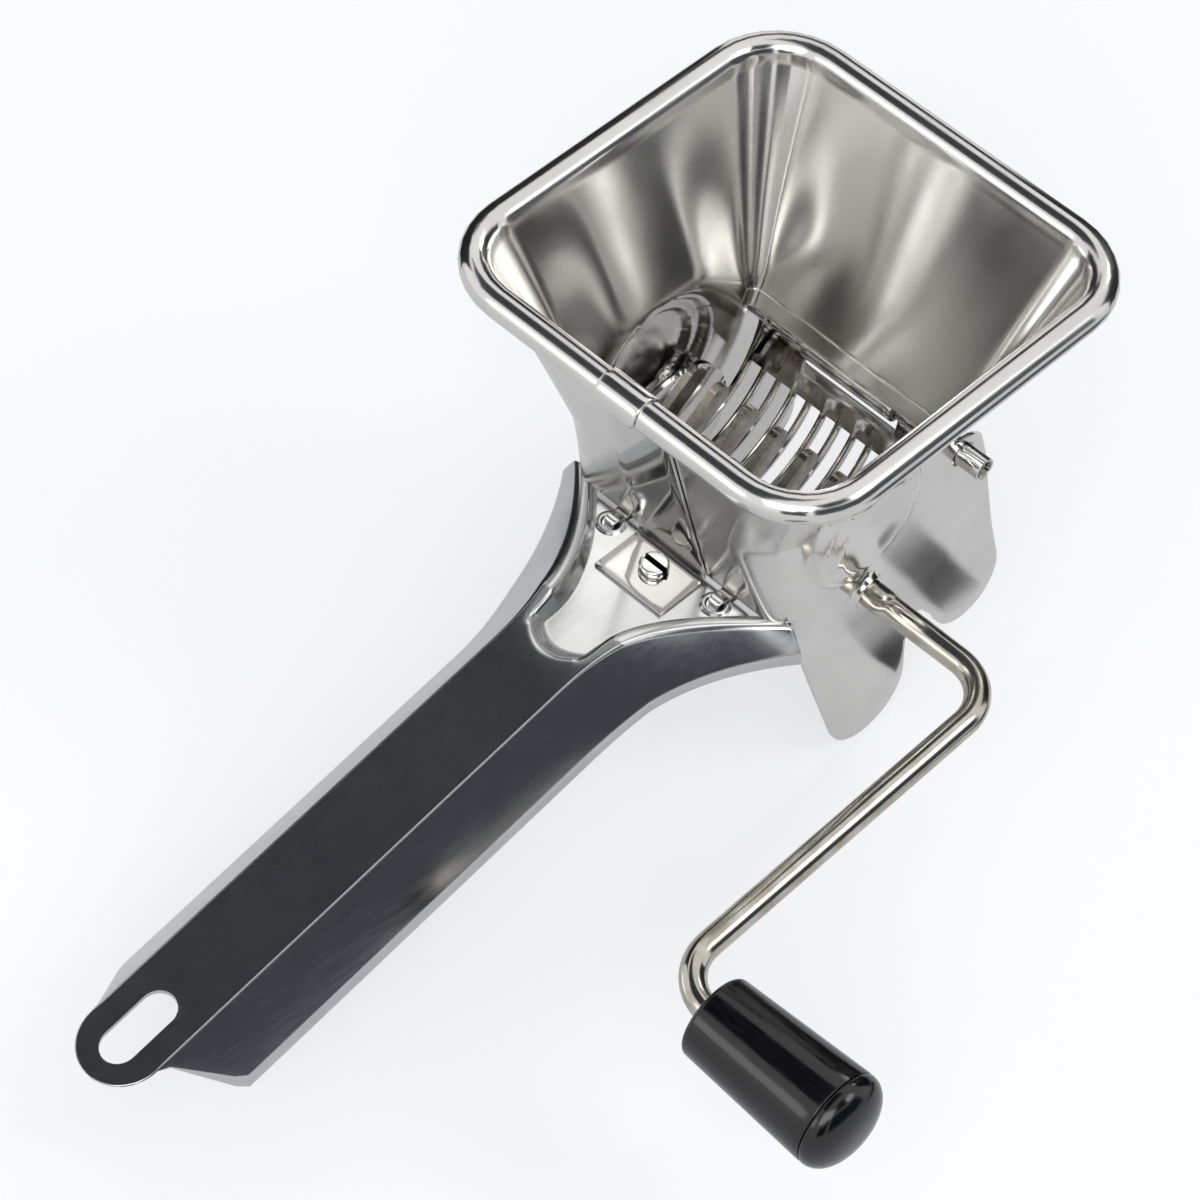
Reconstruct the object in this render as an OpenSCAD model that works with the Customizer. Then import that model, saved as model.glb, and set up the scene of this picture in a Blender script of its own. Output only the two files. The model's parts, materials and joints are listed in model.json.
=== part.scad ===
// Rotary herb mill: a square sheet-metal hopper hinged on a pressed channel handle.
// A crank turns a rotor of two-fingered blades through the slots of a curved sieve.
// Frame: origin at the centre of the hopper mouth, +Z up, X along the crank shaft, handle towards -Y.

/* [Sheet metal] */
// Thickness of the pressed sheet
sheet_t = 0.8; // [0.6:0.1:1]

/* [Hopper] */
// Outer side of the square rolled rim
rim_side = 84; // [80:1:92]
// Diameter of the rolled rim
rim_d = 5.4; // [4.4:0.2:6]
// Corner radius of the rim's centre line
rim_corner_r = 13; // [10:0.5:16]
// Length of the overlap sleeve on the rim's front run
sleeve_l = 9; // [6:0.5:14]
// Depth of the fold where the side walls turn upright
fold_drop = 27; // [22:0.5:27]
// Depth of the front wall's lower edge
front_drop = 52; // [50:0.5:52]
// Reach of the front wall over the front edge of the handle
front_edge = 2; // [1.6:0.1:3]
// Radius of the round boss pressed in each cheek
boss_r = 11; // [8:0.5:11.5]
// Height of the pressed boss
boss_h = 1.2; // [0.8:0.1:1.6]

/* [Cheeks] */
// Radius of the front lobe's round end
lobe_front_r = 9.4; // [8:0.2:10]
// Depth of the front lobe's centre below the shaft
lobe_front_drop = 31; // [26:0.5:34]
// Radius of the rear lobe's round end
lobe_rear_r = 8.3; // [7:0.1:9]
// Depth of the rear lobe's centre below the shaft
lobe_rear_drop = 22; // [19:0.5:25]

/* [Sieve] */
// Room from the shaft's centre to the sieve's floor
sieve_floor = 4.1; // [3.8:0.1:5]
// Mean radius of the sieve's arc
sieve_r = 22; // [21.6:0.1:22.6]
// Number of slots, and of blades
blade_count = 12; // [8:1:12]
// Distance between neighbouring slots
blade_pitch = 3.45; // [3:0.05:3.5]
// Width of one slot
slot_w = 2.2; // [1.9:0.1:2.4]
// Outer diameter of the rolled hinge tube
hinge_d = 4.8; // [4:0.2:5.2]
// Length of the hinge tube that stands out of each cheek
hinge_stub = 5; // [2:0.5:8]
// Width of the window that the hopper's hinge tab turns in
window_w = 20.8; // [14:0.2:26]

/* [Rotor] */
// Depth of the crank shaft below the rim
shaft_drop = 59.5; // [59:0.1:60]
// Diameter of the crank wire
wire_d = 4.6; // [4:0.1:5]
// Thickness of one blade
blade_t = 1.5; // [1:0.1:1.7]
// Radius of the finger tips
finger_r = 13.2; // [11:0.2:15]
// Width of a finger
finger_w = 4.6; // [3.6:0.2:6]
// Angle of the first blade above level
finger_angle = 38; // [0:1:89]
// Radius of the rotor's two end discs
disc_r = 14.6; // [12:0.5:16.5]
// Thickness of an end disc
disc_t = 0.8; // [0.5:0.1:1]
// Room between an outer blade and the end disc beside it
end_room = 2.075; // [1:0.025:3]

/* [Crank] */
// Distance of the crank arm from the hopper's middle
arm_x = 54; // [48:0.5:60]
// Length of the crank arm between its bends
arm_l = 78.5; // [60:0.5:90]
// Bend radius of the wire's centre line
bend_r = 9; // [7:0.5:11]
// Angle of the arm below level
arm_angle = 2.9; // [0:0.1:20]

/* [Grip] */
// Length of the grip without its cap
grip_l = 26.2; // [22:0.2:36]
// Diameter at the wire end
grip_d0 = 15; // [13:0.2:17]
// Diameter at the cap end
grip_d1 = 17.4; // [15:0.2:20]
// Height of the domed cap
cap_h = 5; // [3:0.2:7]

/* [Handle] */
// Reach of the tongue's end behind the shaft
handle_reach = 152; // [130:1:175]
// Half width of the flat top
top_half = 7.6; // [6.5:0.1:9]
// Half width of the channel at its lips
base_half = 15; // [13:0.2:17]
// Height of the channel's sloping sides
side_drop = 10.4; // [8:0.2:12]
// Height of the upright lip under each side
lip_h = 2.2; // [1.4:0.1:3]
// Fall of the handle away from the hopper, in degrees
handle_fall = 11.6; // [8:0.2:13]
// Half width of the shoulder's wings
wing_half = 27; // [25.5:0.2:29]
// Depth of the shoulder's pan below the rim
pan_drop = 53.8; // [53.6:0.1:54.2]
// Length of the hanging slot
hang_l = 14.5; // [10:0.5:18]
// Width of the hanging slot
hang_w = 6.4; // [5:0.2:8]

/* [Latch] */
// Width of the latch strap
strap_w = 15; // [10:0.5:18]
// Length of the strap's foot
foot_l = 10.8; // [9:0.2:13]
// Diameter of the screw's shank
screw_d = 3; // [2.5:0.1:3.5]
// Diameter of the screw's head
screw_head_d = 5.2; // [4.6:0.1:5.6]
// Height of the screw's head
screw_head_h = 1.6; // [1:0.1:2]

/* [Hidden] */
$fn = 64;
hull_fn = 32;
eps = 0.01;
far = 200;

// Clearances
run_gap = 0.08;
seat_gap = 0.05;
lay_gap = 0.02;
edge_gap = 0.3;
side_gap = 0.6;

// Shaft and sieve
shaft_z = -shaft_drop;
shaft_r = wire_d / 2;
sieve_in = sieve_r - sheet_t / 2;
sieve_out = sieve_r + sheet_t / 2;
sieve_z = shaft_z - sieve_floor + sieve_in;
sieve_y = -0.5;
slot_top = sieve_z - sieve_r * 0.48;
slot_front = sieve_z - sieve_r * 0.6;

// Hinge on the sieve's rear edge
hinge_r = hinge_d / 2;
hinge_y = sieve_y + sieve_r;
hinge_z = sieve_z;
hinge_bore_r = hinge_r - sheet_t;
rear_end = hinge_z - 1.2;

// Front edge of the handle's shoulder, just clear of the sieve
pan_z = -pan_drop;
lay_z = pan_z + lay_gap;
wing_y = sieve_y - sqrt(sieve_out * sieve_out - pow(pan_z - sieve_z, 2)) - edge_gap;
front_reach = front_edge - wing_y;

// Row of blades, with a disc at each end
row_half = (blade_count - 1) * blade_pitch / 2;
disc_x = row_half + blade_t / 2 + end_room;

// Rim and walls
rim_r = rim_d / 2;
rim_half = rim_side / 2 - rim_r;
wall_half = rim_half - rim_r - seat_gap;
wall_corner_r = rim_corner_r - rim_r - seat_gap;
cheek_in = disc_x + disc_t + side_gap;
cheek_out = cheek_in + sheet_t;
throat_corner_r = 3;
front_slope = (wall_half - front_reach) / front_drop;
rear_slope = 0.27;
wall_skin = sheet_t * 1.05;
hinge_half = cheek_out + hinge_stub;

// Rotor places along the shaft
hub_r = shaft_r + 1.9;
spacer_r = shaft_r + 1;
sieve_half = disc_x - edge_gap;
washer_t = 1;
washer_r = shaft_r + 2.3;
collar_h = 1.1;
shaft_end = cheek_out + collar_h + edge_gap + washer_t + 1.2;
collar_r = shaft_r + run_gap + sheet_t;
ear_x = cheek_out + collar_h + edge_gap;
ear_l = 3;
ear_half = shaft_r + 1.1;
ear_t = 1.6;

// Grip places along the crank's outer end
grip_x = arm_x + bend_r + edge_gap;
cavity_l = 8;
cavity_r = 5.4;
clip_t = 1;
clip_r = shaft_r + 1.9;
wire_end = grip_x + grip_l - cavity_l + edge_gap + clip_t + 1.2;
edge_r = 1.2;

// Handle stations
flare_l = 17;
flare_y = wing_y - flare_l;
crest_y = flare_y - 7;
crest_z = pan_z + 3.6;
dip_l = 10;
tongue_y = -handle_reach + top_half;
side_end = tongue_y + 1;
side_cut = 11;
ridge_half = top_half + 2;
pan_edge = 2.6;
shoulder_n = 20;
shoulder_step = 1.7;
plain_n = 36;
stations = 46;
tongue_turn = 75;
bead_r = 1;
hang_edge = 3.4;

// Latch
foot_y = -front_reach - 0.4;
foot_end = foot_y - foot_l;
screw_y = foot_y - screw_head_d / 2 - 1.8;
foot_top = lay_z + sheet_t;
leaf_top = -rim_r - 1.6;
leaf_gap = 0.3;
nut_flats = screw_d * 1.83;
nut_h = 2.4;

function ease(t) = let (u = min(max(t, 0), 1)) u * u * (3 - 2 * u);
function mix(a, b, t) = a + (b - a) * t;

// Round bar along X from x0 to x1, at height z over the line y
module bar_x(r, x0, x1, y = 0, z = 0) {
    translate([x0, y, z]) rotate([0, 90, 0]) cylinder(r = r, h = x1 - x0);
}

// Flat outline drawn in Y and Z, made thick along X from x0
module sheet_x(x0, t) {
    translate([x0, 0, 0]) rotate([90, 0, 90]) linear_extrude(t) children();
}

// Thin level plate with round corners, one section of the funnel
module section(half_x, y0, y1, r, z) {
    for (x = [-half_x + r, half_x - r], y = [y0 + r, y1 - r])
        translate([x, y, z]) cylinder(r = r, h = eps, $fn = hull_fn);
}

function front_at(z) = -wall_half - front_slope * z;
function rear_at(z) = wall_half + rear_slope * z;

// Solid funnel: sloping walls down to the fold, then upright cheeks; skin moves every wall inwards
module funnel(skin, over) {
    z1 = -fold_drop;
    z2 = -front_drop;
    hull() {
        section(wall_half - skin, front_at(0) + skin, rear_at(0) - skin, wall_corner_r - skin, over);
        section(cheek_out - skin, front_at(z1) + skin, rear_at(z1) - skin, throat_corner_r - skin, z1);
    }
    hull() {
        section(cheek_out - skin, front_at(z1) + skin, rear_at(z1) - skin, throat_corner_r - skin, z1);
        section(cheek_out - skin, front_at(z2) + skin, rear_at(z2) - skin, throat_corner_r - skin,
                z2 - over);
    }
}

// Outline of one cheek below the funnel, with a long front lobe and a short rear lobe
module cheek_outline() {
    front_y = 3.6;
    front_z = shaft_z - lobe_front_drop;
    rear_y = 28.5;
    rear_z = shaft_z - lobe_rear_drop;
    neck_z = -front_drop + 6;
    neck_y = -18;
    neck_rise = 9.5;
    notch_drop = 17.5;
    translate([front_y, front_z]) circle(lobe_front_r);
    translate([rear_y, rear_z]) circle(lobe_rear_r);
    polygon([
        [front_at(neck_z), neck_z], [neck_y, shaft_z + neck_rise], [front_y - lobe_front_r, front_z + 2],
        [front_y + lobe_front_r, front_z + 1], [front_y + lobe_front_r, shaft_z - notch_drop],
        [rear_y - lobe_rear_r, rear_z - 1.5], [rear_y + lobe_rear_r, rear_z + 1],
        [hinge_y + 9, shaft_z + 2], [hinge_y + hinge_r + 2, hinge_z - 3],
        [hinge_y + hinge_r + 1, hinge_z + 1], [hinge_y, hinge_z + hinge_r + 1]]);
}

module hopper() {
    tab_half = window_w / 2 - edge_gap;
    boss_z = -fold_drop - boss_r - 1;
    color("silver") difference() {
        union() {
            difference() {
                funnel(0, 0);
                funnel(wall_skin, 1);
                translate([-cheek_in, 0, -far + rear_end]) cube([2 * cheek_in, far, far]);
            }
            for (x = [-cheek_out, cheek_in]) sheet_x(x, sheet_t) cheek_outline();
            for (s = [0, 1]) mirror([s, 0, 0]) {
                translate([cheek_in, 0, boss_z]) rotate([0, 90, 0])
                    cylinder(r1 = boss_r, r2 = boss_r - 2, h = sheet_t + boss_h);
                bar_x(collar_r, cheek_in, cheek_out + collar_h, 0, shaft_z);
            }
            bar_x(hinge_r, -tab_half, tab_half, hinge_y, hinge_z);
            translate([-tab_half, hinge_y, hinge_z - sheet_t])
                cube([2 * tab_half, rear_at(hinge_z) - hinge_y - 0.3, sheet_t]);
        }
        bar_x(shaft_r + run_gap, -far, far, 0, shaft_z);
        for (s = [0, 1]) mirror([s, 0, 0]) {
            bar_x(hinge_r + run_gap, window_w / 2, far, hinge_y, hinge_z);
            translate([cheek_in - eps, 0, boss_z]) rotate([0, 90, 0])
                cylinder(r1 = boss_r - sheet_t, r2 = boss_r - 2 - sheet_t, h = boss_h + eps);
        }
        bar_x(hinge_bore_r, -far, far, hinge_y, hinge_z);
    }
}

// Rolled rim: four straight tubes joined by quarter rings
module rim_tube(r) {
    run = rim_half - rim_corner_r;
    for (k = [0 : 3]) rotate([0, 0, 90 * k]) {
        bar_x(r, -run, run, -rim_half, 0);
        translate([run, -run, 0]) rotate([0, 0, -90])
            rotate_extrude(angle = 90) translate([rim_corner_r, 0]) circle(r);
    }
}

module rim_roll() {
    color("gainsboro") difference() {
        rim_tube(rim_r);
        rim_tube(rim_r - sheet_t);
    }
}

// The rim's own overlap: one end of the roll is slipped over the other
module rim_sleeve() {
    sleeve_x = 1.8;
    r = rim_r + seat_gap;
    color("gainsboro") difference() {
        bar_x(r + sheet_t / 2, sleeve_x - sleeve_l / 2, sleeve_x + sleeve_l / 2, -rim_half, 0);
        bar_x(r, -far, far, -rim_half, 0);
        translate([-far / 2, -rim_half + rim_r - 0.4, -far / 2]) cube([far, far, far]);
    }
}

// Half widths and heights of the handle's section at a place y
function flare(y) = pow(min(max((y - flare_y) / flare_l, 0), 1), 2.2);
function shoulder(y) = ease((y - crest_y + 8) / 14);
function side_share(y) = min(max((y - side_end) / side_cut, 0.1), 1);
function crest(y) = crest_z + (min(y, crest_y) - crest_y) * tan(handle_fall)
    - (crest_z - pan_z - 0.9) * ease((y - crest_y) / (wing_y - crest_y));
function round_end(y) = y > tongue_y ? 1 : sqrt(max(1 - pow((tongue_y - y) / top_half, 2), 0));
function ridge_x(y) = mix(top_half, ridge_half, shoulder(y)) * round_end(y)
    + (wing_half - ridge_half) * flare(y);
function base_x(y) = ridge_x(y) + side_share(y)
    * mix(base_half - top_half, 0.6, ease((y - flare_y) / flare_l));
function side_z(y) = crest(y) - side_share(y) * mix(side_drop, 4, ease((y - flare_y) / flare_l));
function pan_x(y) = ridge_x(y) * 0.6 + shoulder(y) * (ridge_x(y) * 0.4 - pan_edge);
function pan_at(y) = mix(crest(y), pan_z, ease((y - crest_y + dip_l) / dip_l));
function lip_at(y) = lip_h * max(side_share(y), 0.3);

// Closed loop of the channel's section at y: outside then inside on the right, mirrored on the left
function channel(y) = let (
    a = ridge_x(y), b = base_x(y), p = pan_x(y), t = sheet_t, n = lip_at(y),
    zt = crest(y), zb = side_z(y), zp = pan_at(y),
    right = [[p, zp], [a, zt], [b, zb], [b, zb - n],
             [b - t, zb - n], [b - t, zb - t / 4], [a - t * 0.45, zt - t], [p, zp - t]],
    left = [for (i = [7 : -1 : 0]) [-right[i][0], right[i][1]]])
    [for (q = concat(right, left)) [q[0], y, q[1]]];

// Stations lie closer together in the flared shoulder and round the tongue's end
function station_y(i) = i < shoulder_n ? wing_y - i * shoulder_step
    : i <= plain_n
    ? mix(wing_y - shoulder_n * shoulder_step, tongue_y, (i - shoulder_n) / (plain_n - shoulder_n))
    : tongue_y - top_half * sin(tongue_turn * (i - plain_n) / (stations - plain_n));

module channel_loft() {
    n = 16;
    last = stations * n;
    points = [for (i = [0 : stations]) each channel(station_y(i))];
    sides = [for (i = [0 : stations - 1], k = [0 : n - 1]) let (m = (k + 1) % n)
        each [[i * n + k, i * n + m, i * n + n + k], [i * n + m, i * n + n + m, i * n + n + k]]];
    cap = concat([for (k = [0 : 2]) each [[k, k + 1, 6 - k, 7 - k], [8 + k, 9 + k, 14 - k, 15 - k]]],
                 [[15, 0, 7, 8]]);
    front = [for (q = cap) [q[3], q[2], q[1], q[0]]];
    back = [for (q = cap) [for (k = q) k + last]];
    polyhedron(points, concat(front, sides, back));
}

module handle() {
    color("dimgray") difference() {
        union() {
            channel_loft();
            bar_x(bead_r, -wing_half, wing_half, wing_y - bead_r + edge_gap / 2, pan_z - bead_r - eps);
        }
        translate([0, tongue_y, crest(tongue_y)]) rotate([handle_fall, 0, 0])
            translate([0, hang_l / 2 + hang_edge - top_half, -far / 2]) linear_extrude(far) hang_slot();
        translate([0, screw_y, pan_z - far / 2]) cylinder(d = screw_d + 2 * run_gap, h = far);
    }
}

module hang_slot() {
    straight = hang_l - hang_w;
    translate([-hang_w / 2, -straight / 2]) square([hang_w, straight]);
    for (y = [-straight / 2, straight / 2]) translate([0, y]) circle(d = hang_w);
}

// Curved sieve: an arc of sheet, its rear edge rolled to a hinge tube, slotted for the blades
module sieve() {
    tab_w = 3.8;
    tab_x = 13.3;
    curl_r = 1.9;
    curl_y = wing_y - 3.2;
    color("darkgray") difference() {
        union() {
            difference() {
                bar_x(sieve_out, -sieve_half, sieve_half, sieve_y, sieve_z);
                translate([-far, -far, sieve_z]) cube(2 * far);
                translate([-far, -far, lay_z]) cube([2 * far, far + sieve_y - sieve_r / 2, far]);
            }
            for (x = [-tab_x, tab_x]) {
                translate([x - tab_w / 2, curl_y, lay_z])
                    cube([tab_w, sieve_y - sieve_r / 2 - curl_y, sheet_t]);
                difference() {
                    bar_x(curl_r, x - tab_w / 2, x + tab_w / 2, curl_y, lay_z);
                    translate([-far, -far, lay_z - 2 * far]) cube(2 * far);
                }
            }
            bar_x(hinge_r, -hinge_half, hinge_half, hinge_y, hinge_z);
        }
        difference() {
            bar_x(sieve_in, -far, far, sieve_y, sieve_z);
            bar_x(hinge_r - eps, -far, far, hinge_y, hinge_z);
            translate([-far, -far, lay_z - eps]) cube([2 * far, far + curl_y + 4, far]);
        }
        bar_x(hinge_bore_r, -far, far, hinge_y, hinge_z);
        bar_x(curl_r - sheet_t, -far, far, curl_y, lay_z);
        for (i = [0 : blade_count - 1]) translate([i * blade_pitch - row_half - slot_w / 2, 0, 0]) {
            translate([0, sieve_y, slot_top - far]) cube([slot_w, far, far]);
            translate([0, sieve_y - far, slot_front - far]) cube([slot_w, far + eps, far]);
        }
        translate([-window_w / 2, sieve_y + sieve_r / 2, hinge_z - 5]) cube([window_w, far, far]);
    }
}

// Spring latch: a screwed foot and a leaf that stands up along the hopper's front wall
module latch_foot() {
    color("gainsboro") difference() {
        translate([-strap_w / 2, foot_end, lay_z]) cube([strap_w, foot_l, sheet_t]);
        translate([0, screw_y, pan_z - 1]) cylinder(d = screw_d + 2 * run_gap, h = sheet_t + 2);
    }
}

module latch_leaf() {
    z0 = foot_top + leaf_gap;
    z1 = leaf_top;
    lip_l = rim_r * 0.9;
    function back(z) = front_at(z) - 0.4;
    color("gainsboro") sheet_x(-strap_w / 2, strap_w) polygon([
        [back(z0), z0], [back(z1), z1], [back(z1) - lip_l, z1 + 0.5],
        [back(z1) - lip_l, z1 + 0.5 - sheet_t], [back(z1) - wall_skin, z1 - sheet_t],
        [back(z0) - wall_skin, z0]]);
}

module latch_screw() {
    color("silver") difference() {
        union() {
            translate([0, screw_y, foot_top]) cylinder(d = screw_head_d, h = screw_head_h);
            translate([0, screw_y, pan_z - sheet_t - nut_h - 0.6])
                cylinder(d = screw_d, h = nut_h + 2 * sheet_t + 0.6 + lay_gap + eps);
        }
        translate([-far / 2, screw_y - 0.45, foot_top + screw_head_h * 0.45]) cube([far, 0.9, far]);
    }
}

module latch_nut() {
    color("silver") difference() {
        translate([0, screw_y, pan_z - sheet_t - nut_h])
            linear_extrude(nut_h) circle(r = nut_flats / sqrt(3), $fn = 6);
        translate([0, screw_y, pan_z - sheet_t - nut_h - 1]) cylinder(d = screw_d, h = nut_h + 2);
    }
}

// Places the crank: the shaft stays on its axis, the arm leans below level
module on_shaft() {
    translate([0, 0, shaft_z]) rotate([arm_angle, 0, 0]) children();
}

module wire_bend() {
    rotate_extrude(angle = 90) translate([bend_r, 0]) circle(shaft_r);
}

// One bent wire: shaft, arm and the grip's axle, with two pinched ears outside the cheek
module crank_rod() {
    color("silver") on_shaft() {
        bar_x(shaft_r, -shaft_end, arm_x - bend_r);
        translate([arm_x - bend_r, -bend_r, 0]) wire_bend();
        translate([arm_x, -bend_r, 0]) rotate([90, 0, 0]) cylinder(r = shaft_r, h = arm_l - 2 * bend_r);
        translate([arm_x + bend_r, bend_r - arm_l, 0]) rotate([0, 0, 180]) wire_bend();
        bar_x(shaft_r, arm_x + bend_r, wire_end, -arm_l, 0);
        translate([ear_x, -ear_half, -ear_t / 2]) cube([ear_l, 2 * ear_half, ear_t]);
    }
}

// Flat blade with two opposite fingers, bored for the shaft
module blade_outline() {
    difference() {
        union() {
            circle(hub_r);
            square([2 * finger_r - finger_w, finger_w], center = true);
            for (s = [-1, 1]) translate([s * (finger_r - finger_w / 2), 0]) circle(d = finger_w);
        }
        circle(shaft_r);
    }
}

module blade(i) {
    x = (i - 1) * blade_pitch - row_half;
    turn = finger_angle + (i % 2 == 0 ? 90 : 0);
    color("rosybrown") translate([0, 0, shaft_z]) sheet_x(x - blade_t / 2, blade_t)
        rotate(turn) blade_outline();
}

// Sleeves between the blades, and from the outer blades to the end discs
module blade_spacers() {
    inner = blade_pitch - blade_t;
    outer = disc_x - row_half - blade_t / 2;
    color("tan") difference() {
        union() {
            for (i = [0 : blade_count - 2])
                bar_x(spacer_r, i * blade_pitch - row_half + blade_t / 2,
                      i * blade_pitch - row_half + blade_t / 2 + inner, 0, shaft_z);
            bar_x(spacer_r, -disc_x, -disc_x + outer, 0, shaft_z);
            bar_x(spacer_r, disc_x - outer, disc_x, 0, shaft_z);
        }
        bar_x(shaft_r, -far, far, 0, shaft_z);
    }
}

module end_disc(x) {
    color("tan") difference() {
        bar_x(disc_r, x, x + disc_t, 0, shaft_z);
        bar_x(shaft_r, -far, far, 0, shaft_z);
    }
}

module end_disc_left() {
    end_disc(-disc_x - disc_t);
}

module end_disc_right() {
    end_disc(disc_x);
}

module shaft_washer() {
    x = -cheek_out - collar_h - edge_gap - washer_t;
    color("silver") difference() {
        bar_x(washer_r, x, x + washer_t, 0, shaft_z);
        bar_x(shaft_r, -far, far, 0, shaft_z);
    }
}

// Places a turned shape, drawn with its axis on Z, on the crank's outer end
module on_grip(x) {
    on_shaft() translate([x, -arm_l, 0]) rotate([0, 90, 0]) children();
}

// Tapered grip, bored to spin on the wire, with a pocket for the clip on the wire's end
module grip() {
    r0 = grip_d0 / 2;
    r1 = grip_d1 / 2;
    color([0.08, 0.08, 0.09]) on_grip(grip_x) difference() {
        rotate_extrude() polygon([
            [0, 0], [r0 - edge_r, 0], [r0 - edge_r * 0.3, edge_r * 0.3], [r0, edge_r],
            [r1, grip_l], [0, grip_l]]);
        translate([0, 0, -1]) cylinder(r = shaft_r + run_gap, h = grip_l);
        translate([0, 0, grip_l - cavity_l]) cylinder(r = cavity_r, h = cavity_l + 1);
    }
}

// Domed cap with a plug pressed into the grip's pocket
module grip_cap() {
    r1 = grip_d1 / 2;
    dome_r = (r1 * r1 + cap_h * cap_h) / (2 * cap_h);
    plug_l = 3;
    color([0.05, 0.05, 0.06]) on_grip(grip_x + grip_l) {
        difference() {
            translate([0, 0, cap_h - dome_r]) sphere(dome_r);
            translate([-far / 2, -far / 2, -far]) cube(far);
        }
        translate([0, 0, -plug_l]) cylinder(r = cavity_r - seat_gap, h = plug_l + eps);
    }
}

module grip_clip() {
    color("gray") on_grip(grip_x + grip_l - cavity_l + edge_gap) difference() {
        cylinder(r = clip_r, h = clip_t);
        translate([0, 0, -1]) cylinder(r = shaft_r, h = clip_t + 2);
    }
}

hopper();
rim_roll();
rim_sleeve();
handle();
sieve();
latch_foot();
latch_leaf();
latch_screw();
latch_nut();
crank_rod();
blade_spacers();
end_disc_left();
end_disc_right();
shaft_washer();
grip();
grip_cap();
grip_clip();
for (i = [1 : blade_count]) blade(i);
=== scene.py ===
# %% [markdown]
# # Rotary herb mill
# A small hand mill of bright pressed steel: a square hopper with a rolled rim, a finger rotor over a
# slotted sieve, a channel handle and a bent wire crank with a black grip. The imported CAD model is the
# frame. The pieces that the eye rests on are modelled again here, smoother and with the small radii that
# pressed sheet has, and every piece rides on the CAD body that carries it. The rotor's blades and discs,
# the nut and the washers stay as the CAD made them, with better materials.

# %% Load the frame
import json
import math

import bpy
import numpy
from mathutils import Matrix, Vector


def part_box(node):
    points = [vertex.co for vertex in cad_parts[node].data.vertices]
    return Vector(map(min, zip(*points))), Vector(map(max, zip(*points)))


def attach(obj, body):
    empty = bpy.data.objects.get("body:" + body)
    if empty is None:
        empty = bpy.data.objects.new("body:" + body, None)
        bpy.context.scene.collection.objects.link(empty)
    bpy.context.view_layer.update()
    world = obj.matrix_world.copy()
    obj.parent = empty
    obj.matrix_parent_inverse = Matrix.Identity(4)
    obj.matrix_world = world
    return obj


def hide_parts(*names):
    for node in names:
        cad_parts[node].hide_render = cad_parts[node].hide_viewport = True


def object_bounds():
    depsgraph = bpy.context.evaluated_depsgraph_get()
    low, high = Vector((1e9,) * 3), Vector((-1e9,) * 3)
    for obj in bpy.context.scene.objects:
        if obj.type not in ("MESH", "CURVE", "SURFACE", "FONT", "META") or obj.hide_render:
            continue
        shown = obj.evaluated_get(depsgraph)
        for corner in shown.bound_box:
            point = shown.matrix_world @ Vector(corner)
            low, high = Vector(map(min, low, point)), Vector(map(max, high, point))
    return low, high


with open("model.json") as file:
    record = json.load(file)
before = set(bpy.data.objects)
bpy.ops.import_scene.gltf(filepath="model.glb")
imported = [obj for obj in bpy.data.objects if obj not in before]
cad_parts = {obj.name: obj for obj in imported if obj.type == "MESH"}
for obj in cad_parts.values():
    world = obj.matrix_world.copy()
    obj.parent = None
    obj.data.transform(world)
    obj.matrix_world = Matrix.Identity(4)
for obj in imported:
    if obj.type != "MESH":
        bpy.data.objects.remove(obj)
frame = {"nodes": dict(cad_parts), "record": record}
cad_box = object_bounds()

MM = 0.001
nodes = frame["nodes"]
bpy.ops.object.select_all(action="DESELECT")
print("CAD box in mm:", [[round(c / MM, 1) for c in corner] for corner in cad_box])

# %% [markdown]
# ## Camera
# The photograph looks down on the mill from the crank's side. The square rim is a good ruler: its four
# sides fix the camera's direction, distance and lens. The camera is described by the way it looks and by
# how far it is moved sideways, and the lens follows from the length of a pixel in a 1200 pixel frame.

# %% Camera
VIEW_AZIMUTH = math.radians(40.736)
VIEW_ELEVATION = math.radians(50.851)
VIEW_ROLL = math.radians(4.636)
VIEW_DISTANCE = 713.66 * MM
VIEW_SIDE, VIEW_LIFT = -30.21 * MM, -52.90 * MM
FRAME_PIXELS, FOCAL_PIXELS = 1200, 4487.5
SENSOR = 36.0


def place_camera():
    """Looks at the hopper's mouth from the photograph's direction."""
    back = Vector((math.sin(VIEW_AZIMUTH) * math.cos(VIEW_ELEVATION),
                   -math.cos(VIEW_AZIMUTH) * math.cos(VIEW_ELEVATION), math.sin(VIEW_ELEVATION)))
    right = Vector((0, 0, 1)).cross(back).normalized()
    up = back.cross(right)
    turned_right = right * math.cos(VIEW_ROLL) + up * math.sin(VIEW_ROLL)
    turned_up = up * math.cos(VIEW_ROLL) - right * math.sin(VIEW_ROLL)
    place = back * VIEW_DISTANCE + turned_right * VIEW_SIDE + turned_up * VIEW_LIFT
    bpy.ops.object.camera_add()
    camera = bpy.context.object
    camera.name = "camera"
    axes = Matrix((turned_right, turned_up, back)).transposed().to_4x4()
    camera.matrix_world = Matrix.Translation(place) @ axes
    camera.data.sensor_width = SENSOR
    camera.data.lens = FOCAL_PIXELS / FRAME_PIXELS * SENSOR
    bpy.context.scene.camera = camera
    return camera


camera = place_camera()
print("lens in mm:", round(camera.data.lens, 1))

# %% [markdown]
# ## Colour and nodes
# A colour picked from a screen is an sRGB hex value, but Blender's shaders reckon in linear light, so one
# function converts it. Nodes could be wired by hand in the shader editor. In a script, one small function
# that adds a node, sets it and links it keeps a finish short enough to read at a glance.

# %% Colour and nodes


def linear(hex_colour):
    """sRGB hex to linear RGBA."""
    parts = [int(hex_colour[i:i + 2], 16) / 255 for i in (1, 3, 5)]
    return [c / 12.92 if c <= 0.04045 else ((c + 0.055) / 1.055) ** 2.4 for c in parts] + [1]


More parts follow.
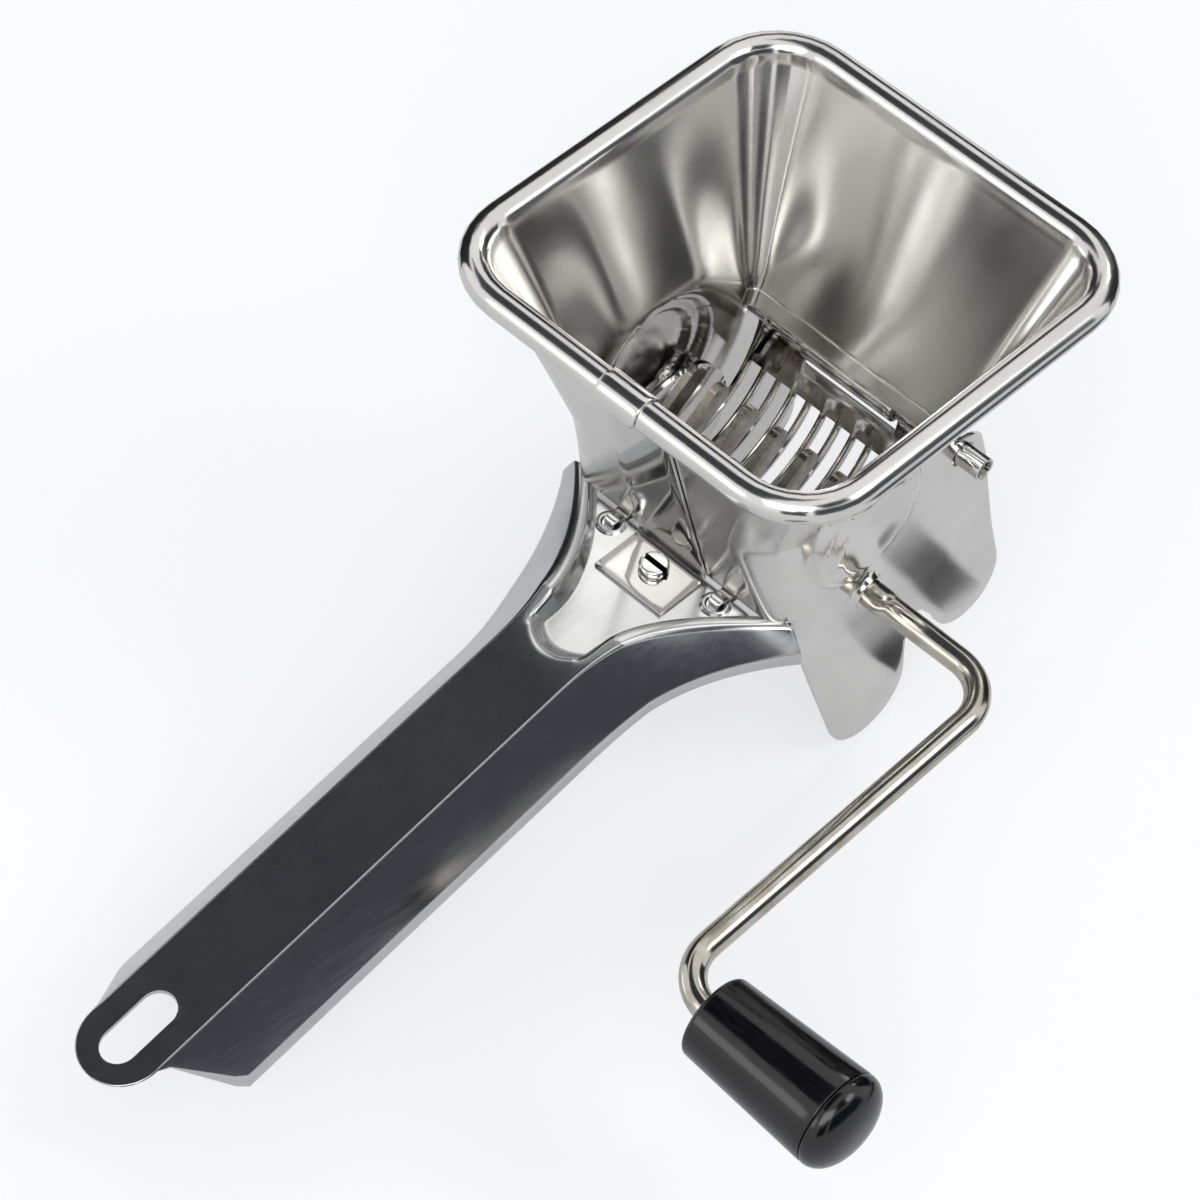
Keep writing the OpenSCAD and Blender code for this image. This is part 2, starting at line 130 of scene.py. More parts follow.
def add_node(material, kind, links=(), **settings):
    """Adds a node; a setting names an input socket or a property, a link is (socket, input)."""
    node = material.node_tree.nodes.new(kind)
    for name, value in settings.items():
        socket = name.replace("_", " ")
        if socket in node.inputs:
            node.inputs[socket].default_value = value
        else:
            setattr(node, name, value)
    for socket, name in links:
        material.node_tree.links.new(socket, node.inputs[name])
    return node


def link(material, socket, shader, name):
    material.node_tree.links.new(socket, shader.inputs[name])


def new_material(name, colour, metallic, roughness):
    """A material with its plain values on the shader's own sockets."""
    material = bpy.data.materials.new(name)
    material.use_nodes = True
    shader = material.node_tree.nodes["Principled BSDF"]
    shader.inputs["Base Color"].default_value = linear(colour)
    shader.inputs["Metallic"].default_value = metallic
    shader.inputs["Roughness"].default_value = roughness
    return material, shader


print("mid grey in linear light:", round(linear("#808080")[0], 3))

# %% [markdown]
# ## Patterns in a finish
# No real surface has one flat colour: steel is cloudy from handling, duller in patches and never quite
# flat. Pictures of metal could be wrapped on as image textures. Noise on Object coordinates needs no
# picture and no unwrapping, and its scale follows from a size in millimetres on the real piece, so noise
# is used here. Three functions let such a pattern steer the colour, the gloss and the relief of a finish.

# %% Patterns in a finish


def grain(material, size, stretch=(1, 1, 1), detail=3.0):
    """A cloudy pattern with features of a size in millimetres, stretched along the axes."""
    place = add_node(material, "ShaderNodeTexCoord")
    scaled = add_node(material, "ShaderNodeMapping", [(place.outputs["Object"], "Vector")],
                      Scale=[1 / s for s in stretch])
    return add_node(material, "ShaderNodeTexNoise", [(scaled.outputs["Vector"], "Vector")],
                    Scale=1 / (size * MM), Detail=detail).outputs["Fac"]


def tint(material, shader, pattern, first, last, low=0.35, high=0.65):
    """Lets the colour go from one to another along a pattern."""
    ramp = add_node(material, "ShaderNodeValToRGB", [(pattern, "Fac")])
    for stop, position, colour in zip(ramp.color_ramp.elements, (low, high), (first, last)):
        stop.position = position
        stop.color = linear(colour)
    link(material, ramp.outputs["Color"], shader, "Base Color")


def polish(material, shader, *layers, low=0.3, high=0.7):
    """Sums roughness from patterns; a layer is (pattern, roughness at its low end, at its high end)."""
    total = None
    for pattern, first, last in layers:
        part = add_node(material, "ShaderNodeMapRange", [(pattern, "Value")], From_Min=low, From_Max=high,
                        To_Min=first, To_Max=last).outputs["Result"]
        if total:
            part = add_node(material, "ShaderNodeMath", [(total, 0), (part, 1)],
                            operation="ADD").outputs["Value"]
        total = part
    link(material, total, shader, "Roughness")


def relief(material, shader, *layers):
    """Stacks bumps; a layer is (pattern, height in millimetres)."""
    normal = None
    for pattern, height in layers:
        links = [(pattern, "Height")] + ([(normal, "Normal")] if normal else [])
        normal = add_node(material, "ShaderNodeBump", links, Distance=height * MM).outputs["Normal"]
    link(material, normal, shader, "Normal")


# %% [markdown]
# ## Sheet steel
# Handle, sieve and strap are bright rolled sheet. The rolls leave fine lines along the sheet, and cutting
# and bending leave it a little wavy, so straight reflections wander. The hopper is drawn deep in a press,
# which pulls its shine out into upright streaks. Those could be painted on, but then they would stay when
# the light moves, so an anisotropic shader makes them: its gloss is longer one way than the other.

# %% Sheet steel


def rolled_sheet(name, colour, stain, low, high):
    """Bright rolled sheet. The eye gets a mirror that is soft along the rolling lines and slightly wavy."""
    material, shader = new_material(name, colour, 1, (low + high) / 2)
    # Rolling lines are some hundredths of a millimetre apart. They are drawn coarser, so that they show.
    lines = grain(material, 0.7, (1, 90, 1), 1.0)
    cloud = grain(material, 14, detail=4.0)
    waves = grain(material, 16, detail=0.0)
    tint(material, shader, cloud, stain, colour)
    polish(material, shader, (lines, low, high), (cloud, 0.03, 0.0))
    relief(material, shader, (waves, 0.03), (lines, 0.0003))
    return material


def pressed_sheet(name, colour, stain, low, high):
    """Pressed sheet. The eye gets a satin mirror, drawn out into upright streaks by the press."""
    material, shader = new_material(name, colour, 1, (low + high) / 2)
    cloud = grain(material, 14, detail=4.0)
    waves = grain(material, 15, (1, 1, 9), 0.0)
    tint(material, shader, cloud, stain, colour)
    polish(material, shader, (cloud, high, low))
    relief(material, shader, (waves, 0.06))
    shader.inputs["Anisotropic"].default_value = 0.7
    shader.inputs["Anisotropic Rotation"].default_value = 0.25
    tangent = add_node(material, "ShaderNodeTangent", direction_type="RADIAL", axis="Z")
    link(material, tangent.outputs["Tangent"], shader, "Tangent")
    return material


sheet_steel = rolled_sheet("bright rolled sheet steel", "#cbcac7", "#c2c1be", 0.05, 0.09)
handle_steel = rolled_sheet("bright rolled handle steel", "#c9cacb", "#c1c2c4", 0.15, 0.19)
hopper_steel = pressed_sheet("bright pressed hopper steel", "#dcdbd8", "#d3d2cf", 0.13, 0.19)
print("sheet:", sheet_steel.name, "|", handle_steel.name, "|", hopper_steel.name)

# %% [markdown]
# ## Wire, rotor and plastic
# The crank is drawn wire with a warm nickel plate. The rotor is stamped from sheet and tumbled with
# stones, and has begun to stain from wet herbs. The grip is moulded plastic, glossy from its mould. One
# metal for all would be quicker, but the three differ in warmth and gloss side by side in the photograph,
# so each is its own.

# %% Wire, rotor and plastic


def drawn_wire(name):
    """Drawn plated wire: faint lines along X and Y, warm nickel, worn a little duller in patches."""
    material, shader = new_material(name, "#c2beb6", 1, 0.14)
    cloud = grain(material, 5, detail=4.0)
    # The die's lines are finer than this, and are drawn coarser, so that they show.
    lines = grain(material, 0.35, (12, 12, 1), 2.0)
    tint(material, shader, cloud, "#aca69a", "#cbc7bf")
    polish(material, shader, (cloud, 0.2, 0.1))
    relief(material, shader, (lines, 0.002))
    return material


def tumbled_steel(name):
    """Stamped and tumbled rotor steel: satin, with short scuffs and brown staining."""
    material, shader = new_material(name, "#969088", 1, 0.26)
    blots = grain(material, 3.2, detail=5.0)
    scuffs = grain(material, 0.5, (1, 3, 3), 3.0)
    tint(material, shader, blots, "#87807a", "#aba69e", 0.3, 0.7)
    polish(material, shader, (scuffs, 0.32, 0.18))
    relief(material, shader, (scuffs, 0.01))
    return material


def moulded_plastic(name):
    """Glossy black moulding: sharp highlights over a faint orange peel, with fine handling scuffs."""
    material, shader = new_material(name, "#0a0a0b", 0, 0.14)
    shader.inputs["IOR"].default_value = 1.53
    peel = grain(material, 1.6, detail=1.0)
    scuffs = grain(material, 0.6, (6, 1, 1), 4.0)
    tint(material, shader, scuffs, "#070708", "#101012")
    polish(material, shader, (scuffs, 0.1, 0.2))
    relief(material, shader, (peel, 0.006))
    return material


wire_steel = drawn_wire("drawn nickel-plated wire")
rotor_steel = tumbled_steel("tumbled stamped steel")
black_abs = moulded_plastic("moulded black plastic")
by_slot = {"bright_steel": sheet_steel, "plated_steel": wire_steel, "rotor_steel": rotor_steel,
           "black_plastic": black_abs}
for part in frame["record"]["subparts"]:
    mesh = nodes[part["node"]].data
    mesh.materials.clear()
    mesh.materials.append(by_slot[part["material_slot"]])
for name in ("end_disc_left", "end_disc_right"):
    nodes[name].data.materials[0] = sheet_steel

# %% [markdown]
# ## Bending sheet
# Pressed sheet is best thought of as a flat grid that is bent into shape. It could be extruded and bent
# by hand, but a formula keeps two meeting pieces on the same line. So each sheet piece starts as a grid
# primitive whose points are moved to their places; Solidify then gives it its gauge, and Bevel breaks its
# edges. Round pieces are grids too, wrapped round an axis and merged along the seam.

# %% Grids


def select_only(*pieces):
    """Leaves edit mode and selects these pieces alone."""
    if bpy.context.object and bpy.context.object.mode != "OBJECT":
        bpy.ops.object.mode_set(mode="OBJECT")
    bpy.ops.object.select_all(action="DESELECT")
    for piece in pieces:
        piece.select_set(True)
        bpy.context.view_layer.objects.active = piece


def edit_all(piece, *operators):
    """Runs operators, given as (operator, settings), each on the whole mesh in edit mode."""
    select_only(piece)
    bpy.ops.object.mode_set(mode="EDIT")
    for operator, settings in operators:
        bpy.ops.mesh.select_all(action="SELECT")
        operator(**settings)
    bpy.ops.object.mode_set(mode="OBJECT")


FACE_OUTWARDS = (bpy.ops.mesh.normals_make_consistent, {"inside": False})
MERGE_GAP = 0.02 * MM


def shaped_grid(name, columns, rows, place):
    """A grid with each point moved to place(column, row), which is in millimetres."""
    select_only()
    bpy.ops.mesh.primitive_grid_add(x_subdivisions=columns, y_subdivisions=rows, size=2)
    piece = bpy.context.object
    piece.name = name
    for vertex in piece.data.vertices:
        column = round((vertex.co.x + 1) / 2 * columns)
        row = round((vertex.co.y + 1) / 2 * rows)
        vertex.co = Vector(place(column, row)) * MM
    return piece


def joined(name, *pieces):
    """Joins pieces and merges the points that meet."""
    select_only(*pieces)
    bpy.ops.object.join()
    piece = bpy.context.object
    piece.name = name
    edit_all(piece, (bpy.ops.mesh.remove_doubles, {"threshold": MERGE_GAP}), FACE_OUTWARDS)
    return piece


def flip_if(piece, wrong):
    """Turns all faces round where wrong is true."""
    if wrong:
        edit_all(piece, (bpy.ops.mesh.flip_normals, {}))


# %% Gauge, edges and finish
SHARP = math.radians(60)


def apply_modifier(piece, kind, **settings):
    """Adds one modifier with its settings and applies it."""
    select_only(piece)
    modifier = piece.modifiers.new(kind.lower(), kind)
    for name, value in settings.items():
        setattr(modifier, name, value)
    bpy.ops.object.modifier_apply(modifier=modifier.name)


def give_gauge(piece, gauge):
    """Makes a sheet thick on the back of its faces."""
    apply_modifier(piece, "SOLIDIFY", thickness=gauge * MM, offset=-1, use_even_offset=True)


def break_edges(piece, width=0.12, segments=2):
    """Rounds the sharp edges that a cut leaves."""
    apply_modifier(piece, "BEVEL", width=width * MM, segments=segments, limit_method="ANGLE",
                   angle_limit=SHARP)


def smooth(piece, angle=35):
    select_only(piece)
    bpy.ops.object.shade_smooth_by_angle(angle=math.radians(angle))


def thick_sheet(piece, gauge, edge=0.12):
    give_gauge(piece, gauge)
    break_edges(piece, edge)
    smooth(piece)


def dress(piece, material, slot, body, *replaced):
    """Gives a finished piece its material and its body, and hides the nodes that it stands for. The slot is
    not used.
    """
    piece.data.materials.clear()
    piece.data.materials.append(material)
    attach(piece, body)
    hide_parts(*replaced)
    print(piece.name, len(piece.data.polygons), "faces")


# %% [markdown]
# ## Hopper
# The hopper is drawn from one sheet: the rim is rolled outwards round itself, the walls slope in with
# round corners that tighten on the way down, and the two side walls fold upright into cheeks. The fold
# arches over a dished boss; below it each cheek has a collar for the crank shaft, a hole for the hinge
# and two lobes. A box with extruded walls would show creases where these meet. Instead one function says
# how far a side wall stands out at any place, so slope, fold and boss run into each other as pressed
# metal does.

# %% Side walls and bosses
SHEET = 0.8
RIM_R, CORNER_R = 2.7, 13.0
rim_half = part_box("rim_roll")[1].x / MM - RIM_R
wall_half = rim_half - RIM_R
CHEEK_X = 23.2
SHAFT_Z = -59.5
FOLD_Z, CORNER_FOLD_Z, FOLD_SOFT = -26.5, -37.0, 0.8
ARCH_HALF, ARCH_RUN = 8, 18
LEAN, LEAN_Z, LEAN_RUN = 1.6, SHAFT_Z - 8, 34
BOSS_Y, BOSS_Z = -3.0, -39.4
BOSS_STEPS = ((1.6, 13.4, 1.8), (1.1, 10.2, 1.4), (0.4, 8.0, 8.0))


def mix(a, b, t):
    return a + (b - a) * t


def ease(t):
    """Goes from 0 to 1 with a soft start and end."""
    t = min(max(t, 0), 1)
    return t * t * (3 - 2 * t)


def boss(radius):
    """Height of the boss: two round steps and a domed middle, each given by height, radius and run."""
    return sum(height * ease((outer - radius) / run) for height, outer, run in BOSS_STEPS)


def side_x(y, z):
    """Inside half width of the hopper at a place on a side wall."""
    fold = mix(FOLD_Z, CORNER_FOLD_Z, ease((abs(y - BOSS_Y) - ARCH_HALF) / ARCH_RUN))
    over = (wall_half - CHEEK_X) * (1 - z / fold)
    slope = (over + math.hypot(over, FOLD_SOFT)) / 2
    lean = LEAN * ease((LEAN_Z - z) / LEAN_RUN)
    return CHEEK_X + slope + boss(math.hypot(y - BOSS_Y, z - BOSS_Z)) + lean


print("half width in mm at rim and shaft:", round(side_x(0, 0), 1), round(side_x(0, SHAFT_Z), 1))

# %% Front wall, rear wall and corners
FRONT_END_Z, REAR_END_Z = -52.3, -37.2
FRONT_END_Y, REAR_END_Y = -20.96, 20.53
FRONT_THROAT_R, REAR_THROAT_R = 3.0, 2.2


def front_r(z):
    """Radius of the two front corners, which stay wide nearly down to the throat."""
    return mix(CORNER_R - RIM_R, FRONT_THROAT_R, (z / FRONT_END_Z) ** 2)


def rear_r(z):
    """Radius of the two rear corners, which close to a narrow crease."""
    return mix(CORNER_R - RIM_R, REAR_THROAT_R, min(z / CORNER_FOLD_Z, 1))


def front_y(z):
    return mix(-wall_half, FRONT_END_Y, z / FRONT_END_Z)


def rear_y(z):
    return mix(wall_half, REAR_END_Y, z / REAR_END_Z)


print("throat from front to rear in mm:", round(rear_y(REAR_END_Z) - front_y(FRONT_END_Z), 1))

# %% Rings of points
ARC_STEPS, RUN_STEPS, ROLL_STEPS = 8, 56, 20
RING_STEPS = 4 * (ARC_STEPS + RUN_STEPS)
ROLL_START = math.radians(-145)


def around(step, centres, radii):
    """Point of four arcs joined by straight runs, and the number of the run if it is on one."""
    side, part = divmod(step % RING_STEPS, ARC_STEPS + RUN_STEPS)

    def on_arc(k, turn):
        angle = math.radians(90 * (k + turn))
        (x, y), radius = centres[k % 4], radii[k % 4]
        return Vector((x + radius * math.cos(angle), y + radius * math.sin(angle)))
    if part <= ARC_STEPS:
        return on_arc(side, part / ARC_STEPS), None
    return on_arc(side, 1).lerp(on_arc(side + 1, 0), (part - ARC_STEPS) / RUN_STEPS), side


def wall_point(step, z):
    """Point of the walls at a height; the two side runs get their depth from the side walls' function."""
    front, rear = front_y(z) + front_r(z), rear_y(z) - rear_r(z)
    front_x, rear_x = side_x(front, z) - front_r(z), side_x(rear, z) - rear_r(z)
    (x, y), run = around(step, [(rear_x, rear), (-rear_x, rear), (-front_x, front), (front_x, front)],
                         [rear_r(z), rear_r(z), front_r(z), front_r(z)])
    if run in (1, 3):
        x = math.copysign(side_x(y, z), x)
    return x, y, z


def roll_point(step, row):
    """Point of the rolled rim."""
    turn = mix(ROLL_START, math.pi, row / ROLL_STEPS)
    radius = CORNER_R + RIM_R * math.cos(turn)
    run = rim_half - CORNER_R
    (x, y), _ = around(step, [(run, run), (-run, run), (-run, -run), (run, -run)], [radius] * 4)
    return x, y, RIM_R * math.sin(turn)


print("points in a ring:", RING_STEPS)

# %% Rim and walls
CHEEK_TOP_Z = -8.0
upper_levels = [-1.2, -2.6, -4.2, -6.0, CHEEK_TOP_Z]
CHEEK_ROWS, FRONT_ROWS, REAR_ROWS = 112, 56, 44
FRONT_STEP, REAR_STEP = 2 * (ARC_STEPS + RUN_STEPS), 0
front_levels = [mix(CHEEK_TOP_Z, FRONT_END_Z, k / FRONT_ROWS) for k in range(FRONT_ROWS + 1)]
rear_levels = [mix(CHEEK_TOP_Z, REAR_END_Z, k / REAR_ROWS) for k in range(REAR_ROWS + 1)]
strip_steps = 2 * ARC_STEPS + RUN_STEPS


def upper_point(step, row):
    if row <= ROLL_STEPS:
        return roll_point(step, row)
    return wall_point(step, upper_levels[row - ROLL_STEPS - 1])


funnel = shaped_grid("funnel", RING_STEPS, ROLL_STEPS + len(upper_levels), upper_point)
front_wall = shaped_grid("front_wall", strip_steps, FRONT_ROWS,
                         lambda c, r: wall_point(FRONT_STEP + c, front_levels[r]))
rear_wall = shaped_grid("rear_wall", strip_steps, REAR_ROWS,
                        lambda c, r: wall_point(REAR_STEP + c, rear_levels[r]))
print("faces of rim, front and rear:", [len(p.data.polygons) for p in (funnel, front_wall, rear_wall)])

# %% [markdown]
# A cheek is a four-sided patch. Its top is the straight run of the last ring, its front and rear sides
# are the edges of the front and rear walls and then the cut outline, and its bottom runs round both
# lobes. Cutting the outline from a larger sheet would leave ragged faces along it. So the grid's points
# are spread between the four lines and evened out, as a net pulled tight, and the side wall's function
# gives them their depth.

# %% Cheek outline
HINGE_Y, HINGE_Z = 21.5, -42.0
LOBE_FRONT = (3.6, SHAFT_Z - 31, 9.4)
LOBE_REAR = (28.5, SHAFT_Z - 22, 8.3)
NOTCH = [(13.0, SHAFT_Z - 23), (13.6, SHAFT_Z - 19.4), (15.0, SHAFT_Z - 18.6), (16.6, SHAFT_Z - 19.2)]
LOBE_STEPS = 30


def arc(y, z, radius, first, last, steps):
    """Points of an arc, from one angle to another in degrees."""
    turns = [math.radians(mix(first, last, k / steps)) for k in range(steps + 1)]
    return [(y + radius * math.cos(t), z + radius * math.sin(t)) for t in turns]


def along(path, share):
    """Point at a share of the length of a broken line."""
    points = [Vector(point) for point in path]
    lengths = [(q - p).length for p, q in zip(points, points[1:])]
    left = share * sum(lengths)
    for p, q, length in zip(points, points[1:], lengths):
        if left <= length:
            return p.lerp(q, left / length)
        left -= length
    return points[-1]


front_edge = [Vector((front_y(z) + front_r(z), z)) for z in front_levels]
rear_edge = [Vector((rear_y(z) - rear_r(z), z)) for z in rear_levels]
lobe_line = arc(*LOBE_FRONT, 196, 366, LOBE_STEPS) + NOTCH + arc(*LOBE_REAR, 196, 372, LOBE_STEPS)
front_line = [front_edge[-1], (-18.2, SHAFT_Z + 6), (-16.4, SHAFT_Z - 2), lobe_line[0]]
rear_line = [rear_edge[-1], (20.4, HINGE_Z + 4.2), (23.6, HINGE_Z + 3.6), (26.2, HINGE_Z + 1.4),
             (28.4, HINGE_Z - 5), (30.8, SHAFT_Z + 2.5), (33.4, SHAFT_Z - 8), lobe_line[-1]]
left_rows, right_rows = CHEEK_ROWS - FRONT_ROWS, CHEEK_ROWS - REAR_ROWS
left = front_edge + [along(front_line, k / left_rows) for k in range(1, left_rows + 1)]
right = rear_edge + [along(rear_line, k / right_rows) for k in range(1, right_rows + 1)]
bottom = [along(lobe_line, k / RUN_STEPS) for k in range(RUN_STEPS + 1)]
print("cheek's lowest point in mm:", round(min(point.y for point in bottom), 1))

# %% Cheek net
EVENING_ROUNDS = 800


def spread_between(column, row):
    """Place in a cheek's patch, read from its four edges."""
    u, v = column / RUN_STEPS, row / CHEEK_ROWS
    top = left[0].lerp(right[0], u)
    between = left[row].lerp(right[row], u) + top.lerp(bottom[column], v)
    return between - top.lerp(left[-1].lerp(right[-1], u), v)


net = numpy.array([[spread_between(c, r) for c in range(RUN_STEPS + 1)] for r in range(CHEEK_ROWS + 1)])
# Each round moves the inner points to a weighted mean of their neighbours, so that no cell folds over.
for _ in range(EVENING_ROUNDS):
    east, west, south, north = net[1:-1, 2:], net[1:-1, :-2], net[2:, 1:-1], net[:-2, 1:-1]
    across, down = (east - west) / 2, (south - north) / 2
    skew = (net[2:, 2:] - net[2:, :-2] - net[:-2, 2:] + net[:-2, :-2]) / 2
    wide, tall = (across ** 2).sum(2, keepdims=True), (down ** 2).sum(2, keepdims=True)
    slant = (across * down).sum(2, keepdims=True)
    net[1:-1, 1:-1] = (tall * (east + west) + wide * (south + north) - slant * skew) / (2 * (wide + tall))
cell_x, cell_y = net[:-1, 1:] - net[:-1, :-1], net[1:, :-1] - net[:-1, :-1]
cell_area = cell_x[..., 0] * cell_y[..., 1] - cell_x[..., 1] * cell_y[..., 0]
print("cheek cells turned over:", int((cell_area > 0).sum()), "of", cell_area.size)

# %% [markdown]
# The five grids become one sheet, which gets its gauge before the holes for the shaft and the hinge are
# drilled right across it. Round each shaft hole the sheet is drawn out into a short collar. The collar is
# turned on a lathe profile, because its small radii would need a far finer grid in the cheek.

# %% Hopper sheet
SHAFT_HOLE_R, HINGE_HOLE_R = 2.5, 2.55
DRILL_SIDES, DRILL_L = 40, 90
SIDES = ((-1, "left"), (1, "right"))


def cheek_point(side, column, row):
    y, z = net[row, column]
    return side * side_x(y, z), y, z


def top_face(piece):
    return max(piece.data.polygons, key=lambda face: face.center.z)


def cut_away(piece, cutter):
    """Cuts one piece out of another and throws the cutter away."""
    apply_modifier(piece, "BOOLEAN", operation="DIFFERENCE", object=cutter, solver="EXACT")
    bpy.data.objects.remove(cutter)


def bore(piece, radius, y, z):
    """Cuts a round hole right across the piece along X."""
    select_only()
    bpy.ops.mesh.primitive_cylinder_add(vertices=DRILL_SIDES, radius=radius * MM, depth=DRILL_L * MM,
                                        location=(0, y * MM, z * MM), rotation=(0, math.pi / 2, 0))
    cut_away(piece, bpy.context.object)


cheeks = [shaped_grid("cheek", RUN_STEPS, CHEEK_ROWS, lambda c, r: cheek_point(side, c, r))
          for side, _ in SIDES]
hopper = joined("hopper_sheet", funnel, front_wall, rear_wall, *cheeks)
flip_if(hopper, top_face(hopper).normal.z < 0)
give_gauge(hopper, SHEET)
bore(hopper, SHAFT_HOLE_R, 0, SHAFT_Z)
bore(hopper, HINGE_HOLE_R, HINGE_Y, HINGE_Z)
break_edges(hopper)
smooth(hopper)
dress(hopper, hopper_steel, "bright_steel", "hopper", "hopper", "rim_roll")

# %% Shaft collars
COLLAR_H, COLLAR_R, COLLAR_SIDES = 1.1, 3.7, 48
collar_profile = [(0, SHAFT_HOLE_R), (0, COLLAR_R), (0.3, COLLAR_R - 0.45), (0.8, COLLAR_R - 0.65),
                  (COLLAR_H, COLLAR_R - 0.85), (COLLAR_H, SHAFT_HOLE_R), (0, SHAFT_HOLE_R)]


def turned(name, profile, steps, start, axis_y, axis_z):
    """A lathe shape about an axis along X: profile holds (distance along X, radius)."""
    def place(column, row):
        reach, radius = profile[row]
        angle = 2 * math.pi * column / steps
        return start + reach, axis_y + radius * math.cos(angle), axis_z + radius * math.sin(angle)
    return joined(name, shaped_grid(name, steps, len(profile) - 1, place))


for side, word in SIDES:
    collar = turned("shaft_collar_" + word, [(side * reach, radius) for reach, radius in collar_profile],
                    COLLAR_SIDES, side * (CHEEK_X + SHEET), 0, SHAFT_Z)
    smooth(collar, 50)
    dress(collar, hopper_steel, "bright_steel", "hopper")

# %% [markdown]
# The rear wall comes down in front of the hinge, and a tab in its middle is rolled right round to make
# the knuckle. The rim's two ends overlap at the front: one end is slipped over the other and dressed
# down. Both are narrow strips along an arc, so both are grids whose rows follow the arc.

# %% Rear lip and hinge knuckle
LIP_START_Z, LIP_END_Z, LIP_ROWS, LIP_SHEET = REAR_END_Z + 0.05, -40.41, 6, 0.35
LIP_INSET = 2
TAB_HALF, TAB_R, TAB_COLUMNS, TAB_STEPS = 10.1, 2.85, 10, 32


def lowest_face(piece):
    return min(piece.data.polygons, key=lambda face: face.center.z)


lip = shaped_grid("rear_lip", strip_steps - 2 * LIP_INSET, LIP_ROWS, lambda c, r: wall_point(
    REAR_STEP + LIP_INSET + c, mix(LIP_START_Z, LIP_END_Z, r / LIP_ROWS)))
flip_if(lip, lip.data.polygons[strip_steps // 2].normal.y > 0)
thick_sheet(lip, LIP_SHEET)
dress(lip, hopper_steel, "bright_steel", "hopper")

knuckle_path = arc(HINGE_Y, HINGE_Z, TAB_R, 146, 420, TAB_STEPS)
knuckle = shaped_grid("hinge_knuckle", TAB_COLUMNS, TAB_STEPS,
                      lambda c, r: (mix(-TAB_HALF, TAB_HALF, c / TAB_COLUMNS), *knuckle_path[r]))
flip_if(knuckle, lowest_face(knuckle).normal.z > 0)
thick_sheet(knuckle, SHEET)
dress(knuckle, hopper_steel, "bright_steel", "hopper")

# %% Rim overlap
OVERLAP_X, OVERLAP_MIDDLE = (-2.7, 6.2), 0.42
OVERLAP_R, OVERLAP_SHEET = RIM_R + 0.45, 0.4
OVERLAP_TURN = (math.radians(186), math.radians(-62))
OVERLAP_COLUMNS, OVERLAP_ROWS = 8, 28
NARROW_FROM, NARROW_ROWS, NARROW = 20, 8, 0.45


def overlap_point(column, row):
    """Point of the strip over the roll, which narrows towards its dressed end."""
    turn = mix(*OVERLAP_TURN, row / OVERLAP_ROWS)
    width = 1 - NARROW * ease((row - NARROW_FROM) / NARROW_ROWS) ** 2
    middle = mix(*OVERLAP_X, OVERLAP_MIDDLE)
    x = middle + (mix(*OVERLAP_X, column / OVERLAP_COLUMNS) - middle) * width
    return x, -rim_half - OVERLAP_R * math.cos(turn), OVERLAP_R * math.sin(turn)


overlap = shaped_grid("rim_overlap", OVERLAP_COLUMNS, OVERLAP_ROWS, overlap_point)
flip_if(overlap, top_face(overlap).normal.z < 0)
thick_sheet(overlap, OVERLAP_SHEET)
dress(overlap, hopper_steel, "bright_steel", "hopper", "rim_sleeve")

# %% [markdown]
# ## Handle
# The handle is a channel pressed from one strip: a flat top, two sloping sides and a short lip below
# each. Towards the hopper the strip flares into two wings and drops into a shallow pan that carries the
# latch, behind a raised U-shaped ridge. It could be extruded as one section and pulled wider at the end.
# Here a section is worked out for every station along the handle instead, so that each bend line keeps
# its own small radius.

# %% Handle's lines
PAN_Z = -53.8
WING_Y, CREST_Y, FLARE_Y = -19.84, -43.84, -58.0
CREST_Z, TIP_RISE = PAN_Z + 3.6, 1.7
FALL = math.tan(math.radians(11.6))
TOP_HALF, TIP_RIDGE, RIDGE_CURVE = 7.6, 25.0, 2.5
TONGUE_Y = -152 + TOP_HALF
SIDE_END, SIDE_CUT, LEAST_SHARE = TONGUE_Y + 1, 11.0, 0.02
STEP_Y, STEP_REACH, STEP_HALF, STEP_L = -46.0, 7.5, 9, 4.0
LEAST_END = 0.004


def flare(y):
    """0 along the plain handle, rising to 1 at the wings' front edge."""
    return min(max((y - FLARE_Y) / (WING_Y - FLARE_Y), 0), 1)


def crest(y):
    """Height of the flat top, which falls towards the hanging end and dips at the wings."""
    drop = (CREST_Z - PAN_Z - TIP_RISE) * ease((y - CREST_Y) / (WING_Y - CREST_Y))
    return CREST_Z + (min(y, CREST_Y) - CREST_Y) * FALL - drop


def ridge_x(y):
    """Half width of the flat top: round at the hanging end, flared at the wings."""
    end = 1 if y > TONGUE_Y else math.sqrt(max(1 - ((TONGUE_Y - y) / TOP_HALF) ** 2, LEAST_END))
    return TOP_HALF * end + (TIP_RIDGE - TOP_HALF) * flare(y) ** RIDGE_CURVE


def side_share(y):
    """How much of the sloping sides is left where they are cut off at a slant near the hanging end."""
    return min(max((y - SIDE_END) / SIDE_CUT, LEAST_SHARE), 1)


def pan_z(x, y):
    """Height of the pan's floor, which starts at a U-shaped step."""
    start = STEP_Y - STEP_REACH * (1 - min(abs(x) / STEP_HALF, 1) ** 2)
    return mix(crest(y), PAN_Z, ease((y - start) / STEP_L))


print("handle's length in mm:", round(WING_Y - TONGUE_Y + TOP_HALF, 1))

# %% Handle's section
BASE_HALF, TIP_BASE, BASE_CURVE = 15.0, 27.6, 2.2
SIDE_DROP, TIP_DROP, SIDE_LIP = 10.4, 5.0, 2.2
RIDGE_TOP, RIDGE_SLOPE = 2.6, 1.9
STEP_BEND, RIDGE_BEND, BASE_BEND = 0.9, (0.3, 1.7), 0.8
PAN_STEPS, BEND_STEPS = 14, 4


